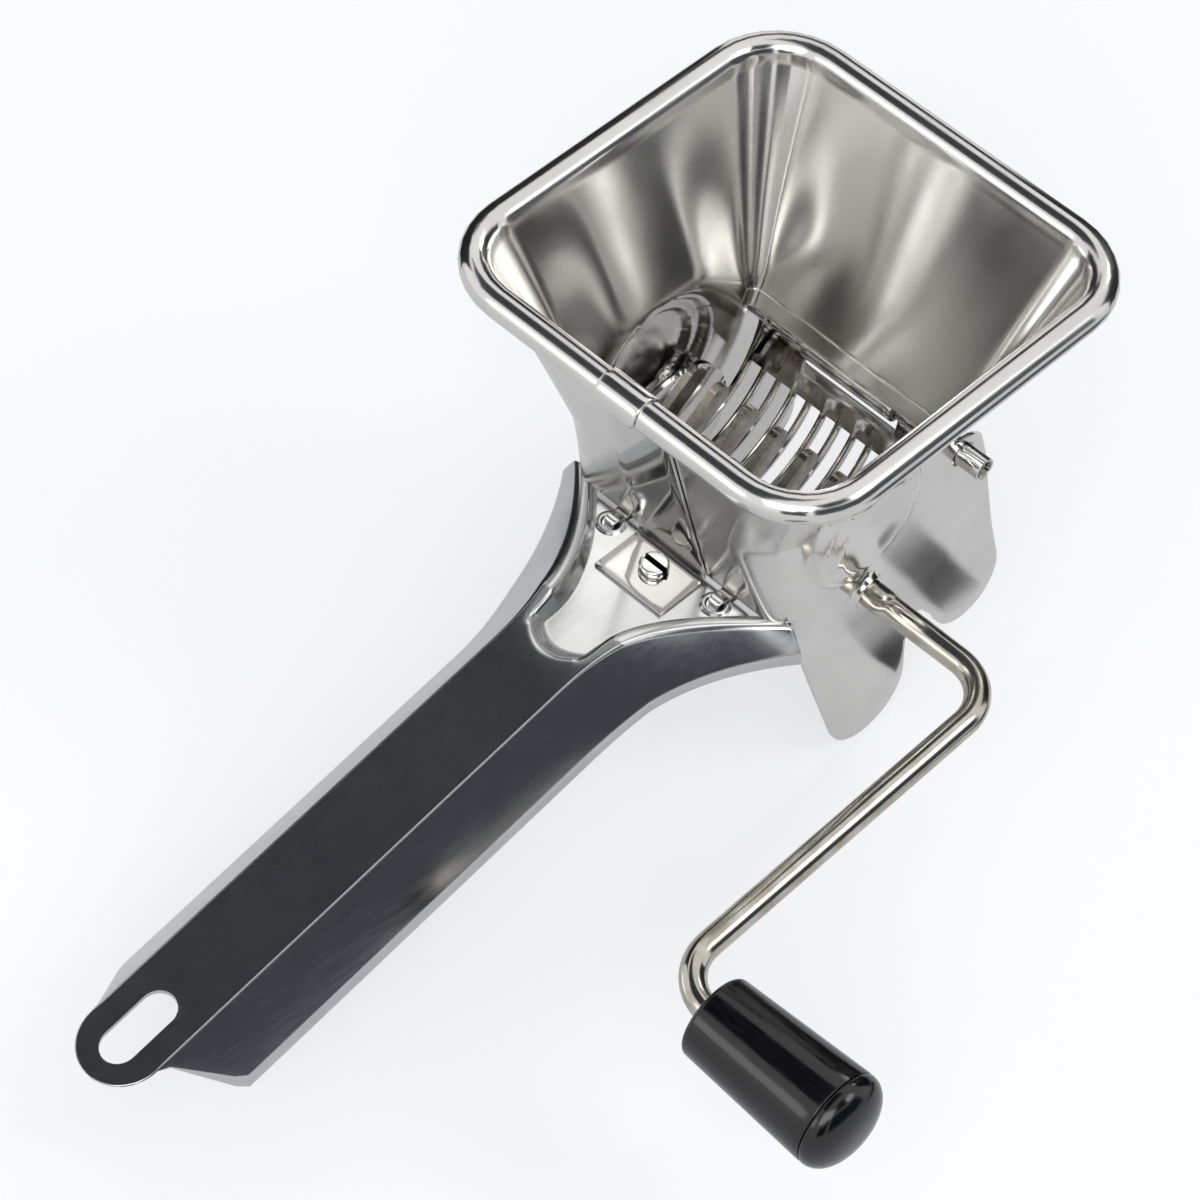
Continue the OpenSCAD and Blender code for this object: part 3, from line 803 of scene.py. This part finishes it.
def rounded(points, radii):
    """A broken line with its inner corners rounded."""
    line = [points[0]]
    for before, corner, after, radius in zip(points, points[1:], points[2:], radii):
        p, q, s = Vector(before), Vector(corner), Vector(after)
        cut = min(radius, (p - q).length * 0.45, (s - q).length * 0.45)
        first, last = q + (p - q).normalized() * cut, q + (s - q).normalized() * cut
        for k in range(BEND_STEPS + 1):
            t = k / BEND_STEPS
            line.append(first * (1 - t) ** 2 + q * (2 * t * (1 - t)) + last * t * t)
    return line + [points[-1]]


def half_section(y):
    """Points of the right half of the section, from the middle to the lip's foot."""
    a = ridge_x(y)
    grown = mix(0.5, 1, ease(2 * flare(y))) * min(a / TOP_HALF, 1)
    inner_top = a - RIDGE_TOP * grown
    p = inner_top - RIDGE_SLOPE * grown
    share = side_share(y)
    base = mix(a, BASE_HALF + (TIP_BASE - BASE_HALF) * flare(y) ** BASE_CURVE, share)
    base_z = crest(y) - share * mix(SIDE_DROP, TIP_DROP, ease(flare(y)))
    inner = [(p * k / PAN_STEPS, pan_z(p * k / PAN_STEPS, y)) for k in range(PAN_STEPS)]
    bends = rounded([inner[-1], (p, pan_z(p, y)), (inner_top, crest(y)), (a, crest(y)), (base, base_z),
                     (base, base_z - SIDE_LIP * share)],
                    (STEP_BEND, STEP_BEND, mix(*RIDGE_BEND, ease(flare(y))), BASE_BEND))
    return [Vector(point) for point in inner[:-1] + bends]


half_count = len(half_section(FLARE_Y)) - 1
print("points in half a section:", half_count + 1)

# %% Handle channel
SHOULDER_L, SHOULDER_ROWS, RUN_ROWS, END_ROWS = 40, 100, 40, 16
HANDLE_ROWS = SHOULDER_ROWS + RUN_ROWS + END_ROWS
END_TURN = math.radians(86)
MIDDLE_Y = -90


def station(row):
    """Place along the handle, closer together in the shoulder and round the tongue's end."""
    if row <= SHOULDER_ROWS:
        return mix(WING_Y, WING_Y - SHOULDER_L, row / SHOULDER_ROWS)
    row -= SHOULDER_ROWS
    if row <= RUN_ROWS:
        return mix(WING_Y - SHOULDER_L, TONGUE_Y, row / RUN_ROWS)
    return TONGUE_Y - TOP_HALF * math.sin(END_TURN * (row - RUN_ROWS) / END_ROWS)


def handle_point(column, row):
    y = station(row)
    x, z = half_section(y)[abs(column - half_count)]
    return math.copysign(x, column - half_count), y, z


channel = shaped_grid("handle_channel", 2 * half_count, HANDLE_ROWS, handle_point)
middle_face = min(channel.data.polygons, key=lambda f: abs(f.center.x) + abs(f.center.y - MIDDLE_Y * MM))
flip_if(channel, middle_face.normal.z < 0)
give_gauge(channel, SHEET)
print("handle stations:", HANDLE_ROWS + 1)

# %% [markdown]
# The hanging slot is punched through the flat end. Its outline is two half circles joined by straight
# runs. The grid is too coarse there for round ends, so a cutter of that outline is taken away with a
# Boolean, before the edges are broken.

# %% Hanging slot
HANG_L, HANG_W, HANG_Y = 14.5, 6.4, -141.4
HANG_SIDES, HANG_DEPTH = 32, 12


def close_ends(piece):
    """Fills a tube's two open ends."""
    edit_all(piece, (bpy.ops.mesh.fill_holes, {"sides": 0}), FACE_OUTWARDS)


def hang_point(column, row):
    """Point of the cutter's wall."""
    turn = 2 * math.pi * (column + 0.5) / HANG_SIDES
    run = math.copysign((HANG_L - HANG_W) / 2, math.sin(turn))
    x, y = HANG_W / 2 * math.cos(turn), HANG_W / 2 * math.sin(turn) + run
    return x, HANG_Y + y, crest(HANG_Y) + (row * 2 - 1) * HANG_DEPTH


cutter = joined("slot_cutter", shaped_grid("slot_cutter", HANG_SIDES, 1, hang_point))
close_ends(cutter)
cut_away(channel, cutter)
break_edges(channel)
smooth(channel)
dress(channel, handle_steel, "bright_steel", "handle", "handle")

# %% [markdown]
# ## Sieve
# The sieve is a strip of sheet curved under the rotor, with a slot for every blade. Slots could be cut
# one by one with Booleans. It is simpler to make a grid whose columns stand on the slots' edges, so the
# slots and the hinge window are faces taken away. The rear edge is rolled into the hinge tube on both
# sides of the window.

# %% Sieve plate
SIEVE_R, SIEVE_Y, SIEVE_Z = 21.6, -0.5, -42.0
SIEVE_HALF, WINDOW_HALF = 21.5, 10.4
SLOT_HALF, SLOT_ROWS, BLADE_PITCH, BLADES = 1.1, 40, 3.45, 12
WINDOW_TURN, SLOT_FIRST, SLOT_LAST = -13.1, -28.7, -143.1
slot_middles = [(k - (BLADES - 1) / 2) * BLADE_PITCH for k in range(BLADES)]
sieve_xs = sorted([m + s * SLOT_HALF for m in slot_middles for s in (-1, 1)]
                  + [-SIEVE_HALF, -WINDOW_HALF, WINDOW_HALF, SIEVE_HALF])
sieve_turns = [-6.3, -9.7, WINDOW_TURN, -20, SLOT_FIRST]
sieve_turns += [mix(SLOT_FIRST, SLOT_LAST, k / SLOT_ROWS) for k in range(1, SLOT_ROWS + 1)]
sieve_turns += [-145.4, -147.6]


def sieve_point(column, row):
    turn = math.radians(sieve_turns[row])
    return sieve_xs[column], SIEVE_Y + SIEVE_R * math.cos(turn), SIEVE_Z + SIEVE_R * math.sin(turn)


def in_opening(face):
    """True for a face of a slot or of the hinge window."""
    x, y, z = face.center / MM
    turn = math.degrees(math.atan2(z - SIEVE_Z, y - SIEVE_Y))
    slot = any(abs(x - middle) < SLOT_HALF for middle in slot_middles) and SLOT_LAST < turn < SLOT_FIRST
    return slot or (abs(x) < WINDOW_HALF and turn > WINDOW_TURN)


sieve = shaped_grid("sieve_plate", len(sieve_xs) - 1, len(sieve_turns) - 1, sieve_point)
bpy.ops.object.mode_set(mode="EDIT")
bpy.ops.mesh.select_all(action="DESELECT")
bpy.ops.mesh.select_mode(type="FACE")
bpy.ops.object.mode_set(mode="OBJECT")
for face in sieve.data.polygons:
    face.select = in_opening(face)
bpy.ops.object.mode_set(mode="EDIT")
bpy.ops.mesh.delete(type="FACE")
bpy.ops.mesh.select_mode(type="VERT")
bpy.ops.object.mode_set(mode="OBJECT")
flip_if(sieve, lowest_face(sieve).normal.z < 0)
thick_sheet(sieve, SHEET, 0.1)
dress(sieve, sheet_steel, "bright_steel", "handle", "sieve")

# %% Hinge tubes
TUBE_END, TUBE_R, TUBE_INNER_R, TUBE_SHEET = 29.0, 2.4, 1.9, 0.42
TUBE_ROWS, TUBE_START, TUBE_STEP = 40, -100, 9.6


def tube_point(row):
    """Point of the tube's section, which winds inwards a little as a rolled edge does."""
    radius, turn = mix(TUBE_R, TUBE_INNER_R, row / TUBE_ROWS), math.radians(TUBE_START + TUBE_STEP * row)
    return HINGE_Y + radius * math.cos(turn), HINGE_Z + radius * math.sin(turn)


for side, word in SIDES:
    tube = shaped_grid("sieve_roll_" + word, 2, TUBE_ROWS,
                       lambda c, r: (side * mix(WINDOW_HALF, TUBE_END, c / 2), *tube_point(r)))
    flip_if(tube, top_face(tube).normal.z < 0)
    thick_sheet(tube, TUBE_SHEET, 0.08)
    dress(tube, sheet_steel, "bright_steel", "handle")

# %% [markdown]
# Two tongues at the sieve's front are hooked over the handle's edge and curled down into holes, which is
# what holds the sieve. A tongue is a narrow grid along a bent line. The holes have a lip that the punch
# raised, and it is a lathe shape about an upright axis. The handle's front edge is rolled over, so it is
# a rod with round ends.

# %% Sieve hooks
HOOK_X, HOOK_HALF, HOOK_SHEET = 12.0, 1.35, 0.5
HOOK_COLUMNS, HOOK_ROWS = 4, 36
TAPER, TAPER_FROM, TAPER_ROWS = 0.35, 24, 12
hook_path = [(-18.9, -54.4), (-19.15, -53.5), (-19.7, -52.95), (-20.6, -52.85), (-22.3, -52.95),
             (-23.1, -52.75), (-23.9, -52.35), (-24.7, -52.4), (-25.2, -53.0), (-25.1, -53.7),
             (-24.6, -54.1)]
hook_line = [along(hook_path, k / HOOK_ROWS) for k in range(HOOK_ROWS + 1)]


def hook_point(side, column, row):
    """Point of a tongue, which tapers towards its curled end."""
    width = HOOK_HALF * (1 - TAPER * ease((row - TAPER_FROM) / TAPER_ROWS))
    return side * HOOK_X + mix(-width, width, column / HOOK_COLUMNS), *hook_line[row]


for side, word in SIDES:
    hook = shaped_grid("sieve_hook_" + word, HOOK_COLUMNS, HOOK_ROWS, lambda c, r: hook_point(side, c, r))
    flip_if(hook, top_face(hook).normal.z < 0)
    thick_sheet(hook, HOOK_SHEET, 0.15)
    dress(hook, sheet_steel, "bright_steel", "handle")

# %% Hook holes and wing edge
DIMPLE_Y, DIMPLE_SIDES = -24.4, 40
dimple_profile = [(1.5, -0.5), (1.5, -0.1), (1.56, 0.12), (1.7, 0.3), (1.9, 0.4), (2.12, 0.4), (2.35, 0.27),
                  (2.6, 0.08), (2.9, -0.05), (2.9, -0.5), (1.5, -0.5)]
WING_LENGTH, BEAD_R, BEAD_SIDES = 2 * TIP_RIDGE - 6, 0.5, 16
bead_end = [(0.01, 0.03), (0.1, 0.3), (0.4, BEAD_R)]
bead_profile = bead_end + [(WING_LENGTH - reach, radius) for reach, radius in reversed(bead_end)]


def dimple_point(side, column, row):
    radius, height = dimple_profile[row]
    turn = 2 * math.pi * column / DIMPLE_SIDES
    return side * HOOK_X + radius * math.cos(turn), DIMPLE_Y + radius * math.sin(turn), PAN_Z + height


for side, word in SIDES:
    dimple = shaped_grid("hook_dimple_" + word, DIMPLE_SIDES, len(dimple_profile) - 1,
                         lambda c, r: dimple_point(side, c, r))
    dimple = joined(dimple.name, dimple)
    smooth(dimple)
    dress(dimple, handle_steel, "bright_steel", "handle")

bead = turned("wing_edge", bead_profile, BEAD_SIDES, -WING_LENGTH / 2, WING_Y - 0.3, PAN_Z - 0.1)
smooth(bead)
dress(bead, handle_steel, "bright_steel", "handle")

# %% [markdown]
# ## Latch
# A strap of spring steel is screwed to the pan and stands up along the hopper's front wall to just under
# the rim's roll, with its top edge turned out. Bent away, it frees the hopper. The real strap is one
# strip. Here its foot and its leaf are two pieces, because the foot stays with the handle while the leaf
# moves with its own joint. Both are grids that follow a bent line.

# %% Latch strap
STRAP_HALF, STRAP_T, STRAP_COLUMNS = 7.5, 0.55, 6
STRAP_GAP, FOOT_LIFT = 0.2, 0.05
FOOT_END, BEND_Y = -33.0, -22.2
LEAF_TOP_Z = -4.3
FOOT_ROWS, LEAF_ROWS = 6, 10


def leaf_y(z):
    """Outer face of the leaf, which lies against the hopper's front wall."""
    return front_y(z) - SHEET - STRAP_GAP - STRAP_T


foot_path = [(mix(FOOT_END, BEND_Y - 0.9, k / FOOT_ROWS), PAN_Z + FOOT_LIFT + STRAP_T)
             for k in range(FOOT_ROWS + 1)]
leaf_path = [(leaf_y(PAN_Z + 0.9) - 0.3, PAN_Z + 0.9), (leaf_y(PAN_Z + 1.4), PAN_Z + 1.4)]
leaf_path += [(leaf_y(z), z) for z in [mix(PAN_Z + 2.2, LEAF_TOP_Z - 1, k / LEAF_ROWS)
                                       for k in range(LEAF_ROWS + 1)]]
leaf_path += [(leaf_y(LEAF_TOP_Z) - 0.5, LEAF_TOP_Z - 0.1), (leaf_y(LEAF_TOP_Z) - 1.6, LEAF_TOP_Z + 0.3)]
for name, path, body, node in (("strap_foot", foot_path, "handle", "latch_foot"),
                               ("strap_leaf", leaf_path, "latch", "latch_leaf")):
    strap = shaped_grid(name, STRAP_COLUMNS, len(path) - 1,
                        lambda c, r: (mix(-STRAP_HALF, STRAP_HALF, c / STRAP_COLUMNS), *path[r]))
    normal = strap.data.polygons[len(path) // 2].normal
    flip_if(strap, normal.z - normal.y < 0)
    thick_sheet(strap, STRAP_T, 0.08)
    dress(strap, sheet_steel, "bright_steel", body, node)

# %% [markdown]
# The screw is a bought one: a low round head with a sawn slot, plated with zinc. Its head is a cylinder
# with a bevelled edge, and a bar cuts the slot, as the saw does. The shank is turned about X, as every
# lathe shape here, and its points are then stood upright. Shade is painted into the slot as a dark, dull
# colour, which makes it readable at this size, and the material finds the slot by its place.

# %% Latch screw
screw_low, screw_high = (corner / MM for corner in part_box("latch_screw"))
SCREW_Y = (screw_low.y + screw_high.y) / 2
HEAD_R, HEAD_H, HEAD_SIDES, HEAD_ROUND = (screw_high.y - screw_low.y) / 2, 1.6, 56, 0.5
HEAD_Z = PAN_Z + STRAP_T + 0.08
HEAD_TOP = HEAD_Z + HEAD_H
SLOT_W, SLOT_DEPTH, SLOT_L = 1.1, 1.15, 20
SHANK_R, SHANK_L, SHANK_SIDES = 1.45, HEAD_Z + 0.15 - screw_low.z, 24
select_only()
bpy.ops.mesh.primitive_cylinder_add(vertices=HEAD_SIDES, radius=HEAD_R * MM, depth=HEAD_H * MM,
                                    location=(0, SCREW_Y * MM, (HEAD_Z + HEAD_H / 2) * MM))
head = bpy.context.object
bpy.ops.object.transform_apply(location=True, rotation=True, scale=True)
break_edges(head, HEAD_ROUND, 5)
select_only()
bpy.ops.mesh.primitive_cube_add(size=1, location=(0, SCREW_Y * MM, HEAD_TOP * MM),
                                scale=(SLOT_L * MM, SLOT_W * MM, 2 * SLOT_DEPTH * MM))
bpy.ops.object.transform_apply(location=True, rotation=True, scale=True)
cut_away(head, bpy.context.object)
shank_profile = [(0, 0.02), (0, 1.0), (0.3, SHANK_R), (SHANK_L, SHANK_R), (SHANK_L, 0.02)]
shank = turned("screw_shank", shank_profile, SHANK_SIDES, 0, 0, 0)
for vertex in shank.data.vertices:
    reach, across, upright = vertex.co
    vertex.co = across, SCREW_Y * MM + upright, screw_low.z * MM + reach
screw = joined("screw", head, shank)
smooth(screw, 40)

# %% Zinc plate
# Painted shade: the slot is coloured dark and dull below a little under the head's top.
ZINC, PAINTED_SLOT_SHADE = "#d9d9d7", "#26241f"
SLOT_SHADE_TOP = HEAD_TOP - 0.2


def slotted_zinc(name):
    """Bright zinc plate. The eye gets a white mirror, with painted shade, dull and dark, in the slot."""
    material, shader = new_material(name, ZINC, 1, 0.12)
    place = add_node(material, "ShaderNodeTexCoord")
    axes = add_node(material, "ShaderNodeSeparateXYZ", [(place.outputs["Object"], "Vector")])
    in_slot = add_node(material, "ShaderNodeMath", [(axes.outputs["Y"], 0)], operation="COMPARE")
    in_slot.inputs[1].default_value = SCREW_Y * MM
    in_slot.inputs[2].default_value = 0.51 * SLOT_W * MM
    sunk = add_node(material, "ShaderNodeMath", [(axes.outputs["Z"], 0)], operation="LESS_THAN")
    sunk.inputs[1].default_value = SLOT_SHADE_TOP * MM
    # Where both hold, the slot gets painted shade: a dark colour and a dull gloss.
    both = [(in_slot.outputs["Value"], 0), (sunk.outputs["Value"], 1)]
    slot_shade = add_node(material, "ShaderNodeMath", both, operation="MULTIPLY").outputs["Value"]
    tint(material, shader, slot_shade, ZINC, PAINTED_SLOT_SHADE, 0.4, 0.6)
    polish(material, shader, (slot_shade, 0.12, 0.6), low=0, high=1)
    return material


dress(screw, slotted_zinc("zinc-plated screw"), "plated_steel", "handle", "latch_screw")

# %% [markdown]
# ## Crank
# The crank is one length of wire with two bends. A curve with a round bevel would give plain wire. Where
# this one leaves the cheek it has been pinched flat, and both ends are chamfered, so a ring of points is
# carried along the wire's middle line instead, and its size and squeeze change on the way.

# %% Crank wire
WIRE_R, WIRE_SIDES, BEND = 2.3, 28, 9.0
ARM_X, ARM_L, ARM_LEAN = 54.0, 78.5, math.radians(2.9)
PINCH_X, PINCH_L, PINCH_WIDER, PINCH_FLATTER = 26.9, 2.6, 0.22, 0.3
wire_low, wire_high = (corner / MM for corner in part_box("crank_rod"))
bend_turns = [math.radians(t) for t in range(0, 91, 6)]
# Each point is (x, y, size), where size is the share of the wire's full radius.
wire_line = [(wire_low.x, 0, 0.6), (wire_low.x + 0.25, 0, 0.88), (wire_low.x + 0.7, 0, 1)]
wire_line += [(x, 0, 1) for x in [-20, 0, 20, 23.5] + [24 + 0.4 * k for k in range(16)] + [38]]
wire_line += [(ARM_X - BEND + BEND * math.sin(t), -BEND + BEND * math.cos(t), 1) for t in bend_turns]
wire_line += [(ARM_X, mix(-BEND, BEND - ARM_L, k / 6), 1) for k in range(1, 6)]
wire_line += [(ARM_X + BEND - BEND * math.cos(t), BEND - ARM_L - BEND * math.sin(t), 1) for t in bend_turns]
wire_line += [(wire_high.x - 1.0, -ARM_L, 1), (wire_high.x - 0.3, -ARM_L, 0.9), (wire_high.x, -ARM_L, 0.6)]


def wire_point(column, row):
    """Point of the ring round the wire's middle line, which lies in a plane that leans a little."""
    x, y, size = wire_line[row]
    before, after = wire_line[max(row - 1, 0)], wire_line[min(row + 1, len(wire_line) - 1)]
    way = Vector((after[0] - before[0], after[1] - before[1])).normalized()
    pinch = math.exp(-((x - PINCH_X) / PINCH_L) ** 4) if y > -0.01 else 0
    turn = 2 * math.pi * column / WIRE_SIDES
    across = WIRE_R * size * (1 + PINCH_WIDER * pinch) * math.cos(turn)
    height = WIRE_R * size * (1 - PINCH_FLATTER * pinch) * math.sin(turn)
    x, y = x - way.y * across, y + way.x * across
    return (x, y * math.cos(ARM_LEAN) - height * math.sin(ARM_LEAN),
            SHAFT_Z + y * math.sin(ARM_LEAN) + height * math.cos(ARM_LEAN))


wire = joined("crank_wire", shaped_grid("crank_wire", WIRE_SIDES, len(wire_line) - 1, wire_point))
close_ends(wire)
smooth(wire, 40)
dress(wire, wire_steel, "plated_steel", "rotor", "crank_rod")

# %% [markdown]
# The grip is a tapered moulding that turns freely on the wire, and a domed cap closes its wide end. Both
# are round, so both are lathe shapes, with the small radius at the grip's rim and the fine groove at the
# cap's that a mould leaves. The groove is what tells the eye that these are two pieces.

# %% Grip
grip_low, grip_high = (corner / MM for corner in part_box("grip"))
GRIP_Y, GRIP_Z = (grip_low.y + grip_high.y) / 2, (grip_low.z + grip_high.z) / 2
GRIP_L, GRIP_SIDES, TAPER_STEPS = grip_high.x - grip_low.x, 64, 8
NARROW_R, WIDE_R, HOLE_R, MOULD_R = 7.5, 8.7, 2.5, 1.0
CAP_H, CAP_START, CAP_HOLE_R, CAP_CURVE = 5.0, 0.4, 3.0, 0.8
grip_profile = [(GRIP_L - 6, HOLE_R), (1.0, HOLE_R), (0.3, HOLE_R + 0.3), (0, HOLE_R + 1.0),
                (0, NARROW_R - MOULD_R)]
grip_profile += [(MOULD_R - MOULD_R * math.cos(t), NARROW_R - MOULD_R + MOULD_R * math.sin(t))
                 for t in map(math.radians, (15, 30, 45, 60, 75, 90))]
grip_profile += [(mix(MOULD_R, GRIP_L - 0.5, k / TAPER_STEPS), mix(NARROW_R, WIDE_R, k / TAPER_STEPS))
                 for k in range(1, TAPER_STEPS + 1)]
grip_profile += [(GRIP_L - 0.15, WIDE_R - 0.08), (GRIP_L, WIDE_R - 0.35), (GRIP_L, CAP_HOLE_R)]
cap_profile = [(0.05, CAP_HOLE_R), (0.05, WIDE_R - 0.4), (0.12, WIDE_R - 0.12), (CAP_START, WIDE_R)]
cap_profile += [(CAP_START + (CAP_H - CAP_START) * math.sin(t), WIDE_R * math.cos(t) ** CAP_CURVE)
                for t in map(math.radians, (10, 20, 30, 40, 50, 60, 68, 76, 82, 87))]
cap_profile += [(CAP_H, 0.02)]
for name, profile, start, node in (("grip_body", grip_profile, grip_low.x, "grip"),
                                   ("grip_end", cap_profile, grip_high.x, "grip_cap")):
    moulding = turned(name, profile, GRIP_SIDES, start, GRIP_Y, GRIP_Z)
    smooth(moulding, 40)
    dress(moulding, black_abs, "black_plastic", "grip", node)

# %% [markdown]
# ## Floor and cards
# Bright metal is only as good as what it mirrors. A photographer stands grey and black cards round such a
# piece, so that each face mirrors something chosen, and the same is done here. Slate cards overhead and
# beyond the crank's side make the handle's top and flank dark. Black cards behind, in front and near give
# the hopper, the rim and the wire their dark lines, and small flags on the floor do that for low,
# polished edges. The cards show in mirrors alone: camera, diffuse light and shadows pass them by. Floor
# and cards are stage, not the object.

# %% Floor and cards
FLOOR_Z, FLAG_Z = cad_box[0].z - 1 * MM, cad_box[0].z - 0.5 * MM
UP = (0, 0, 1)
TOP_SLATE, SIDE_SLATE, BLACK = "#41444b", "#4d545f", "#08080a"
# Each card is its name, its size and place in metres, the way that it faces, and its paint.
CARDS = (("top_card", 1.5, (-0.75, -0.3, 1.5), (0, 0, -1), TOP_SLATE),
         ("side_card", 1.9, (2.5, 0.9, 0.5), (-1, -0.27, -0.1), SIDE_SLATE),
         ("corner_card", 1.7, (2.42, -0.42, 0.75), (-0.95, 0.32, 0), SIDE_SLATE),
         ("front_card", 1.0, (1.5, -1.75, 0.3), (-0.65, 0.75, 0), BLACK),
         ("left_flag", 0.32, (-0.30, 0.06, 0.04), (1, 0, 0), BLACK),
         ("rear_flag", 0.32, (0.06, 0.30, 0.04), (0, -1, 0), BLACK),
         ("floor_flag", 0.008, (0.035, 0.022, FLAG_Z), UP, BLACK),
         ("far_floor_flag", 0.010, (0.041, 0.040, FLAG_Z), UP, BLACK),
         ("rim_flag", 0.14, (0.17, 0.12, FLAG_Z), UP, TOP_SLATE),
         ("back_card", 0.8, (-0.74, 1.46, 0.79), (0.39, -0.81, -0.44), BLACK),
         ("left_back_card", 0.6, (-1.19, 0.97, 0.95), (0.66, -0.54, -0.53), BLACK),
         ("near_card", 0.3, (1.03, -0.9, 0.6), (-0.69, 0.6, -0.4), BLACK),
         ("flank_card", 0.7, (1.0, 0.0, 1.2), (-0.64, 0, -0.77), TOP_SLATE))


def stage_plane(name, size, place, facing, colour):
    """A plain square of the set, turned to face a direction."""
    select_only()
    bpy.ops.mesh.primitive_plane_add(size=size, location=place)
    plane = bpy.context.object
    plane.name = name
    plane.rotation_mode = "QUATERNION"
    plane.rotation_quaternion = Vector(facing).to_track_quat("Z", "Y")
    plane.data.materials.append(new_material(name + " paint", colour, 0, 0.8)[0])
    return plane


floor = stage_plane("floor", 6, (0, 0, FLOOR_Z), UP, "#c0c1c5")
for row in CARDS:
    card = stage_plane(*row)
    card.visible_camera = card.visible_diffuse = card.visible_shadow = False
print("cards:", len(CARDS))

# %% [markdown]
# ## Light
# Four soft area lights stand round the mill, and a white world fills in. Stronger lamps would make the
# background white, and would burn out the metal too. So the background gets its white from Light Path:
# the world and the floor are brighter for rays that the camera sees, straight or in a mirror, than for
# rays that carry light. The floor still takes the mill's shadow.

# %% Lamps
LAMPS = (("key", (0.8, -1.15, 1.2), 1.4, 1.0, 12),
         ("low", (-0.66, -1.55, 0.65), 0.76, 0.57, 2.2),
         ("back", (-0.25, 1.7, 0.9), 0.4, 0.9, 5),
         ("right", (1.04, 0.63, 1.19), 0.6, 0.6, 3.2))
for name, place, width, height, watts in LAMPS:
    bpy.ops.object.light_add(type="AREA", location=place)
    lamp = bpy.context.object
    lamp.name = name
    lamp.data.shape = "RECTANGLE"
    lamp.data.size, lamp.data.size_y = width, height
    lamp.data.energy = watts
    lamp.rotation_mode = "QUATERNION"
    lamp.rotation_quaternion = Vector(place).to_track_quat("Z", "Y")
print("lamps in watts:", {name: watts for name, _, _, _, watts in LAMPS})

# %% World and floor glow
AMBIENT = 0.55
FLOOR_GLOW, MIRROR_GLOW = 0.5, 0.27
WHITE = (1, 1, 1, 1)
world = bpy.context.scene.world or bpy.data.worlds.new("studio")
bpy.context.scene.world = world
world.use_nodes = True
backdrop = world.node_tree.nodes["Background"]
backdrop.inputs["Color"].default_value = WHITE
rays = add_node(world, "ShaderNodeLightPath")
seen = rays.outputs["Is Camera Ray"]
for kind in ("Is Glossy Ray", "Is Transmission Ray"):
    seen = add_node(world, "ShaderNodeMath", [(seen, 0), (rays.outputs[kind], 1)],
                    operation="MAXIMUM").outputs["Value"]
level = add_node(world, "ShaderNodeMapRange", [(seen, "Value")], To_Min=AMBIENT, To_Max=1)
link(world, level.outputs["Result"], backdrop, "Strength")

paint = floor.data.materials[0]
paint_shader = paint.node_tree.nodes["Principled BSDF"]
paint_shader.inputs["Emission Color"].default_value = WHITE
rays = add_node(paint, "ShaderNodeLightPath")
shown = add_node(paint, "ShaderNodeMapRange", [(rays.outputs["Is Camera Ray"], "Value")], To_Max=FLOOR_GLOW)
mirrored = add_node(paint, "ShaderNodeMapRange", [(rays.outputs["Is Glossy Ray"], "Value")],
                    To_Max=MIRROR_GLOW)
glow = add_node(paint, "ShaderNodeMath", [(shown.outputs["Result"], 0), (mirrored.outputs["Result"], 1)],
                operation="ADD")
link(paint, glow.outputs["Value"], paint_shader, "Emission Strength")
print("world:", AMBIENT, "floor glow:", FLOOR_GLOW, "mirrored:", MIRROR_GLOW)

# %% [markdown]
# ## Finish
# The Standard view shows a colour about as it is written.

# %% Finish
bpy.context.scene.view_settings.view_transform = "Standard"
